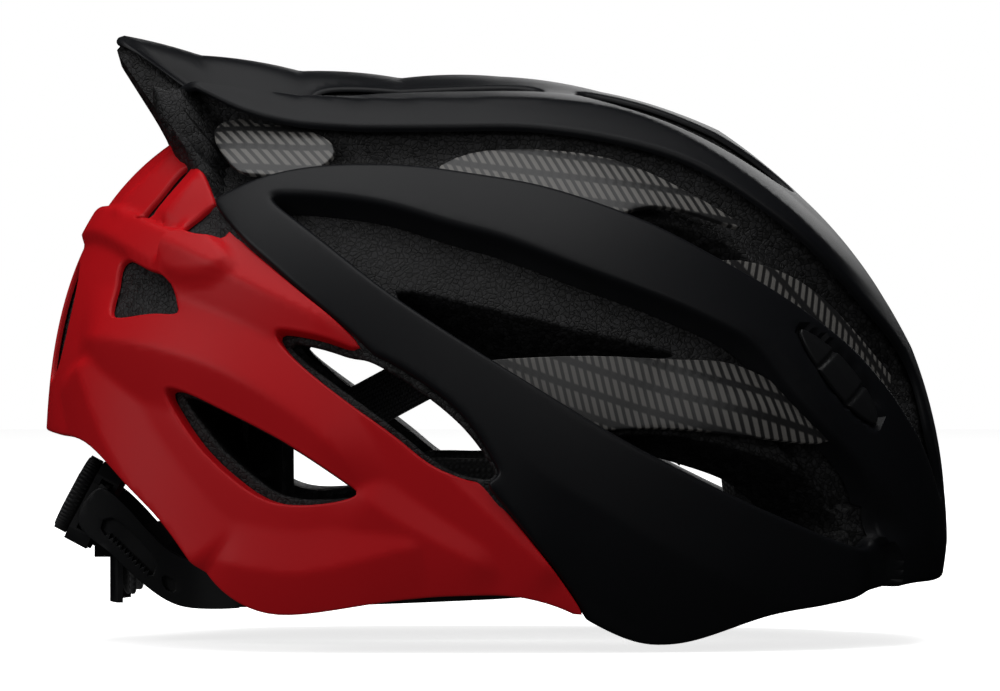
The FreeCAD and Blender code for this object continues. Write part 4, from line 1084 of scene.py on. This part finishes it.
def stitch_tree():
    sizes = [("Spacing", 0.0026), ("Length", 0.0019), ("Thread", 0.0006)]
    tree, given, out = geometry_tree("stitch_row", sizes)
    spaced = {"Curve": given.outputs[0], "Length": given.outputs["Spacing"]}
    points = add(tree, "GeometryNodeResampleCurve", spaced,
                 mode="LENGTH")
    tangent = add(tree, "GeometryNodeInputTangent")
    turn = add(tree, "FunctionNodeAlignRotationToVector", {"Vector": tangent.outputs[0]}, axis="X")
    half_long = add(tree, "ShaderNodeMath", {0: given.outputs["Length"], 1: 0.5}, operation="MULTIPLY")
    half_thick = add(tree, "ShaderNodeMath", {0: given.outputs["Thread"], 1: 0.5}, operation="MULTIPLY")
    scale = add(tree, "ShaderNodeCombineXYZ",
                {0: half_long.outputs[0], 1: half_thick.outputs[0], 2: half_thick.outputs[0]})
    thread = add(tree, "GeometryNodeMeshUVSphere", {"Segments": 8, "Rings": 5, "Radius": 1.0})
    spread = add(tree, "GeometryNodeInstanceOnPoints",
                 {"Points": points.outputs[0], "Instance": thread.outputs["Mesh"],
                  "Rotation": turn.outputs[0],
                  "Scale": scale.outputs[0]})
    finish_tree(tree, given, out, spread.outputs[0])
    return tree


def knurl_tree():
    """Small ridges parallel to Z round a circle."""
    tree, given, out = geometry_tree("knurl_ring", [("Count", 60), ("Radius", 0.0127), ("Ridge", 0.0006),
                                                    ("Height", 0.0044)])
    ring = add(tree, "GeometryNodeMeshCircle", {"Vertices": given.outputs["Count"],
                                                "Radius": given.outputs["Radius"]})
    ridge = add(tree, "GeometryNodeMeshCylinder", {"Vertices": 8, "Radius": given.outputs["Ridge"],
                                                   "Depth": given.outputs["Height"]})
    spread = add(tree, "GeometryNodeInstanceOnPoints", {"Points": ring.outputs[0],
                                                        "Instance": ridge.outputs["Mesh"]})
    finish_tree(tree, given, out, spread.outputs[0])
    return tree


STITCHES, KNURLS = stitch_tree(), knurl_tree()


def grown(name, source, tree, values, material):
    """Runs a tree on an object and returns its result as a plain mesh object."""
    modifier = source.modifiers.new("grow", "NODES")
    modifier.node_group = tree
    for item in tree.interface.items_tree:
        if item.in_out == "INPUT" and item.name in values:
            modifier[item.identifier] = values[item.name]
        if item.in_out == "INPUT" and item.name == "Finish":
            modifier[item.identifier] = material
    graph = bpy.context.evaluated_depsgraph_get()
    mesh = bpy.data.meshes.new_from_object(source.evaluated_get(graph), depsgraph=graph)
    bpy.data.objects.remove(source)
    mesh.name = name
    result = bpy.data.objects.new(name, mesh)
    bpy.context.collection.objects.link(result)
    print("%-20s %7d faces" % (name, len(mesh.polygons)))
    return result


def line_object(points, closed=False):
    data = bpy.data.curves.new("stitch_line", "CURVE")
    data.dimensions = "3D"
    spline = data.splines.new("POLY")
    spline.points.add(len(points) - 1)
    spline.points.foreach_set("co", np.c_[points * 0.001, np.ones(len(points))].ravel())
    spline.use_cyclic_u = closed
    item = bpy.data.objects.new("stitch_line", data)
    bpy.context.collection.objects.link(item)
    return item


# %% Bar tacks on the straps


def bar_tack(name, middle, run, axis, side):
    """A zigzag across the strap, sewn on the face towards the head."""
    middle, run = np.array(middle, float), np.array(run, float) / np.hypot(*run)
    across = np.array([-run[1], run[0]])
    share = np.linspace(-1, 1, 15)
    sway = np.where(np.arange(15) % 2, 1.4, -1.4)
    flat = middle + across * share[:, None] * 5.6 + run * sway[:, None]
    points = on_cavity(flat, axis, WEB_DEEP + 0.15)
    points[:, 1] *= side
    tack = grown(name, line_object(points), STITCHES, {"Spacing": 0.0011, "Length": 0.0016, "Thread": 0.0005},
                 FINISH["thread"])
    place(tack, HELMET, "webbing")


for side, word in ((1, "left"), (-1, "right")):
    bar_tack("tack_front_low_" + word, (57, 66), (-33, 26), 1, side)
    bar_tack("tack_rear_low_" + word, (-46, 71), (39, 21), 1, side)
    bar_tack("tack_chin_" + word, (9, 28), (0, 1), 2, side)

# %% [markdown]
# ## Pads
#
# Each pad is a thin cushion on the head room's wall. Its solid is shrunk a little, meshed evenly, and blown
# up by a short cloth simulation so that its faces crown and its edges soften; no point may move far, and
# none may pass into the foam. One subdivision finishes it.

# %% Blow up the pads
PAD_VOXEL, PAD_SHRINK, PAD_CAP = 0.0021, 0.0007, 0.0016


def behind_wall(points, gap=0.3):
    """Pulls points that pass the head room's wall back to it."""
    radii = (HEAD_RADII - gap) * 0.001
    local = points - HEAD_MIDDLE * 0.001
    share = np.sqrt(((local / radii) ** 2).sum(1))
    over = share > 1
    local[over] /= share[over, None]
    return local + HEAD_MIDDLE * 0.001


def positions(mesh):
    values = np.empty(len(mesh.vertices) * 3, np.float32)
    mesh.vertices.foreach_get("co", values)
    return values.reshape(-1, 3).astype(float)


def evaluated_mesh(item):
    graph = bpy.context.evaluated_depsgraph_get()
    return bpy.data.meshes.new_from_object(item.evaluated_get(graph), depsgraph=graph)


def padded_piece(name, node, body, on_wall=True):
    work = bpy.data.meshes.new(name)
    work.from_pydata(*[[tuple(v.co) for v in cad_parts[node].data.vertices], [],
                       [tuple(f.vertices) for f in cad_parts[node].data.polygons]])
    shape = bmesh.new()
    shape.from_mesh(work)
    bmesh.ops.remove_doubles(shape, verts=shape.verts, dist=2e-6)
    bmesh.ops.recalc_face_normals(shape, faces=shape.faces)
    shape.to_mesh(work)
    shape.free()
    item = bpy.data.objects.new(name, work)
    bpy.context.collection.objects.link(item)
    remesh = item.modifiers.new("even", "REMESH")
    remesh.mode = "VOXEL"
    remesh.voxel_size = PAD_VOXEL
    smooth = item.modifiers.new("soften", "SMOOTH")
    smooth.iterations = 4
    shrink = item.modifiers.new("shrink", "DISPLACE")
    shrink.strength = -PAD_SHRINK
    shrink.mid_level = 0.0
    mesh = evaluated_mesh(item)
    item.modifiers.clear()
    item.data = mesh
    start = positions(mesh)
    cloth = item.modifiers.new("blow", "CLOTH")
    cloth.settings.use_pressure = True
    cloth.settings.uniform_pressure_force = 4.0
    cloth.settings.effector_weights.gravity = 0.0
    cloth.settings.quality = 4
    cloth.collision_settings.use_collision = False
    cloth.point_cache.frame_start = 1
    cloth.point_cache.frame_end = 20
    for step in range(1, 21):
        bpy.context.scene.frame_set(step)
    blown = positions(evaluated_mesh(item))
    item.modifiers.clear()
    bpy.context.scene.frame_set(1)
    move = blown - start
    length = np.linalg.norm(move, axis=1, keepdims=True)
    start = start + move * np.minimum(1, PAD_CAP / np.maximum(length, 1e-9))
    if on_wall:
        start = behind_wall(start)
    mesh.vertices.foreach_set("co", start.astype(np.float32).ravel())
    mesh.update()
    rounder = item.modifiers.new("finer", "SUBSURF")
    rounder.levels = rounder.render_levels = 1
    item.data = evaluated_mesh(item)
    item.modifiers.clear()
    item.data.name = name
    item.data.materials.clear()
    item.data.materials.append(FINISH["pad"])
    item.data.shade_smooth()
    place(item, body, "pad", node)
    print("%-20s %7d faces" % (name, len(item.data.polygons)))


padded_piece("brow_cushion", "brow_pad", HELMET)
padded_piece("crown_cushion", "crown_pad", HELMET)
for word in ("left", "right"):
    padded_piece("side_cushion_" + word, "side_pad_" + word, HELMET)
    padded_piece("nape_cushion_" + word, "nape_pad_" + word, CRADLE, on_wall=False)

# %% [markdown]
# ## The dial
#
# The dial wheel is a turned disc with a soft rim and a sunken face. Its grip is a ring of small ridges grown
# by Geometry Nodes, so the number of ridges is one value. Both are made flat and then leaned into place.

# %% Turn the dial and grow its grip
DIAL_PLACE = Matrix.Translation((-0.133, 0, 0.0459)) @ Matrix.Rotation(math.radians(-62), 4, "Y")
DIAL_PROFILE = [(1.7, -2.4), (11.9, -2.4), (12.5, -1.8), (12.5, 1.8), (11.9, 2.4), (10.8, 2.4), (10.2, 1.9),
                (10.0, 0.7), (2.75, 0.6), (2.7, -0.15), (1.7, -0.2)]


def turned_piece(name, profile, count=72):
    """A closed profile of (radius, height) turned about Z, in millimetres."""
    turn = np.linspace(0, 2 * math.pi, count, endpoint=False)
    rows = [np.stack([r * np.cos(turn), r * np.sin(turn), np.full(count, h)], 1) for r, h in profile]
    xyz = np.concatenate(rows)
    faces = []
    for k in range(len(profile)):
        after = (k + 1) % len(profile)
        for j in range(count):
            a, b = k * count + j, k * count + (j + 1) % count
            c, d = after * count + j, after * count + (j + 1) % count
            faces += [(a, b, d), (a, d, c)]
    return to_object(name, xyz, np.array(faces), None, None, 35)


wheel = turned_piece("dial_wheel_turned", DIAL_PROFILE)
wheel.data.transform(DIAL_PLACE)
place(wheel, DIAL_BODY, "dial_rubber", "dial_wheel")
seed = bpy.data.objects.new("knurl_seed", bpy.data.meshes.new("knurl_seed"))
bpy.context.collection.objects.link(seed)
grip = grown("dial_grip", seed, KNURLS, {"Count": 54, "Radius": 0.0124, "Ridge": 0.00055, "Height": 0.0040},
             FINISH["dial_rubber"])
grip.data.transform(DIAL_PLACE)
place(grip, DIAL_BODY, "dial_rubber")

# %% [markdown]
# ## Toothed ends of the bands
#
# Outside each band's rear end lies a moulded frame with rounded edges: a slanting window with a row of teeth
# along its lower edge, and a small square window before it. It is drawn flat, filled, sliced so that it can
# bend, and laid along the band's own path.

# %% Draw and bend the toothed frames
BAND_PATH = np.array([(-131, 27.2), (-127.3, 28.6), (-119, 31), (-108, 33), (-98, 34.2), (-89, 36.4),
                      (-75, 44), (-60, 52.8)])
FRAME_OUTLINE = [(-131, 37.5), (-129.5, 43.5), (-124.5, 49), (-121, 48), (-115, 42.5), (-108, 34.5),
                 (-102.5, 29), (-95, 25.5), (-86, 24.6), (-76, 25.2), (-76, 11.4), (-86, 10.6),
                 (-96, 10.8), (-102, 12.6), (-108, 16.5), (-116, 23.5), (-122, 29.5), (-127.5, 33)]
TEETH_FROM, TEETH_TO, TEETH_COUNT = np.array([-122.0, 33.6]), np.array([-108.8, 21.0]), 11
SLOT_BACK = [(-107.0, 21.4), (-106.2, 24), (-107.5, 27.8), (-111.5, 32.4), (-116, 36.8), (-120, 39.2),
             (-122.6, 38.4), (-123.4, 35.8)]
SMALL_WINDOW = [(-104.4, 21.6), (-100.2, 19.8), (-100.0, 15.4), (-103.8, 17.2)]


def toothed_slot():
    run = (TEETH_TO - TEETH_FROM) / TEETH_COUNT
    up = np.array([-run[1], run[0]]) / np.hypot(*run) * 1.7
    edge = []
    for k in range(TEETH_COUNT):
        edge += [TEETH_FROM + run * k, TEETH_FROM + run * (k + 0.5) + up]
    return edge + [TEETH_TO] + [np.array(place) for place in SLOT_BACK]


def rounded(points, turns=2):
    """Cuts the corners of a closed outline in short turns."""
    points = np.array(points, float)
    for _ in range(turns):
        after = np.roll(points, -1, axis=0)
        points = np.stack([points * 0.75 + after * 0.25, points * 0.25 + after * 0.75], 1).reshape(-1, 2)
    return points


def flat_plate(loops, half_thick, edge):
    """A filled plate in the XY plane from closed loops, the first outside and the rest holes."""
    data = bpy.data.curves.new("plate", "CURVE")
    data.dimensions = "2D"
    data.fill_mode = "BOTH"
    data.extrude = half_thick - edge
    data.bevel_depth = edge
    data.bevel_resolution = 2
    data.offset = -edge
    for loop in loops:
        spline = data.splines.new("POLY")
        spline.points.add(len(loop) - 1)
        spline.points.foreach_set("co", np.c_[loop, np.zeros(len(loop)), np.ones(len(loop))].ravel())
        spline.use_cyclic_u = True
    item = bpy.data.objects.new("plate", data)
    bpy.context.collection.objects.link(item)
    mesh = evaluated_mesh(item)
    bpy.data.objects.remove(item)
    return mesh


def toothed_frame(side, word):
    loops = [rounded(FRAME_OUTLINE), np.array(toothed_slot()), rounded(SMALL_WINDOW, 1)]
    mesh = flat_plate(loops, 0.75, 0.25)
    shape = bmesh.new()
    shape.from_mesh(mesh)
    bmesh.ops.remove_doubles(shape, verts=shape.verts, dist=1e-4)
    for x in np.arange(-130, -77, 2.5):
        bmesh.ops.bisect_plane(shape, geom=shape.verts[:] + shape.edges[:] + shape.faces[:],
                               plane_co=(x, 0, 0), plane_no=(1, 0, 0))
    bmesh.ops.triangulate(shape, faces=shape.faces)
    xs = np.linspace(BAND_PATH[0, 0], BAND_PATH[-1, 0], 200)
    ys = np.interp(xs, *smooth_line(BAND_PATH, False).T)
    slopes = np.gradient(ys, xs)
    for vertex in shape.verts:
        x, z, out = vertex.co
        y, slope = np.interp(x, xs, ys), np.interp(x, xs, slopes)
        reach = (out + 1.35) / math.hypot(1, slope)
        vertex.co = ((x - slope * reach) * 0.001, side * (y + reach) * 0.001, z * 0.001)
    bmesh.ops.recalc_face_normals(shape, faces=shape.faces)
    mesh.clear_geometry()
    shape.to_mesh(mesh)
    shape.free()
    mesh.materials.clear()
    mesh.materials.append(FINISH["fit_plastic"])
    mesh.shade_smooth()
    mesh.set_sharp_from_angle(angle=math.radians(35))
    item = bpy.data.objects.new("toothed_frame_" + word, mesh)
    bpy.context.collection.objects.link(item)
    place(item, "band_" + word, "fit_plastic")
    print("toothed frame", word, len(mesh.polygons), "faces")


toothed_frame(1, "left")
toothed_frame(-1, "right")

# %% [markdown]
# ## Frame solids that keep their shape
#
# The fit system's solids, the buckle, dividers, levers and anchors are already right, so they only get their
# finishes.

# %% Paint the kept solids
PAINT = {
    "fit_plastic": ["dial_housing", "housing_cover", "yoke", "band_left", "band_right", "detent_ring",
                    "height_track_left", "height_track_right", "temple_anchor_left", "temple_anchor_right",
                    "pinion"],
    "trim": ["dial_cap", "strap_divider_left", "strap_divider_right", "cam_lever_left", "cam_lever_right",
             "buckle_socket", "buckle_plug"],
    "steel": ["housing_screws", "dial_screw"],
}
for slot, names in PAINT.items():
    for name in names:
        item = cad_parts[name]
        if not item.material_slots:
            print("no slot on", name)
        for entry in item.material_slots:
            entry.material = FINISH[slot]
print("painted", sum(len(names) for names in PAINT.values()), "solids")

# %% [markdown]
# ## Floor, light and camera
#
# A sheet of pale paper lies under the helmet. Large soft lamps and a white surround light it as in a product
# studio, and the camera looks level at its right side.

# %% Stage


def floor_paper():
    """A wide sheet of pale paper under the helmet, which neither mirrors in it nor lights it."""
    mesh = bpy.data.meshes.new("studio_floor")
    mesh.from_pydata([(x, y, -0.0005) for x, y in ((-5, -5), (5, -5), (5, 5), (-5, 5))], [], [(0, 1, 2, 3)])
    item = bpy.data.objects.new("studio_floor", mesh)
    bpy.context.collection.objects.link(item)
    paper = bpy.data.materials.new("studio_paper")
    paper.use_nodes = True
    shader = paper.node_tree.nodes["Principled BSDF"]
    shader.inputs["Base Color"].default_value = (0.9, 0.9, 0.9, 1)
    shader.inputs["Roughness"].default_value = 0.9
    shader.inputs["Emission Color"].default_value = (1, 1, 1, 1)
    shader.inputs["Emission Strength"].default_value = 0.78
    mesh.materials.append(paper)
    item.visible_glossy = False
    item.visible_diffuse = False


def softbox(name, at, size, energy, target=(0, 0, 0.09), mirrored_in=True):
    data = bpy.data.lights.new(name, "AREA")
    data.shape = "RECTANGLE"
    data.size, data.size_y = size
    data.energy = energy
    item = bpy.data.objects.new(name, data)
    item.location = at
    item.visible_glossy = mirrored_in
    item.rotation_euler = (Vector(target) - Vector(at)).to_track_quat("-Z", "Y").to_euler()
    bpy.context.collection.objects.link(item)


floor_paper()
softbox("top_softbox", (-0.15, -0.35, 1.5), (1.6, 1.2), 10)
softbox("front_softbox", (0.5, -1.9, 1.1), (1.2, 0.9), 3)
softbox("rear_softbox", (-1.5, -0.9, 0.9), (0.9, 0.9), 6)
softbox("back_softbox", (0.6, 2.0, 1.0), (1.2, 0.9), 6)
softbox("paper_light", (0.0, 0.7, 2.2), (2.5, 0.8), 40, (0, 1.6, 0.6), False)
world = bpy.data.worlds.new("studio_air")
bpy.context.scene.world = world
world.use_nodes = True
world.node_tree.nodes["Background"].inputs[0].default_value = (1, 1, 1, 1)
seen = world.node_tree.nodes.new("ShaderNodeLightPath").outputs["Is Camera Ray"]
strength = world.node_tree.nodes.new("ShaderNodeMapRange")
world.node_tree.links.new(seen, strength.inputs["Value"])
strength.inputs["To Min"].default_value = 0.16
world.node_tree.links.new(strength.outputs[0], world.node_tree.nodes["Background"].inputs[1])
world.cycles_visibility.glossy = False
bpy.context.scene.view_settings.view_transform = "Standard"

# %% Camera
lens = bpy.data.cameras.new("side_camera")
lens.lens = 225
lens.sensor_width = 36
camera = bpy.data.objects.new("side_camera", lens)
camera.location = (0.00176, -2.0, 0.0934)
camera.rotation_euler = (math.radians(90), 0, 0)
bpy.context.collection.objects.link(camera)
bpy.context.scene.camera = camera
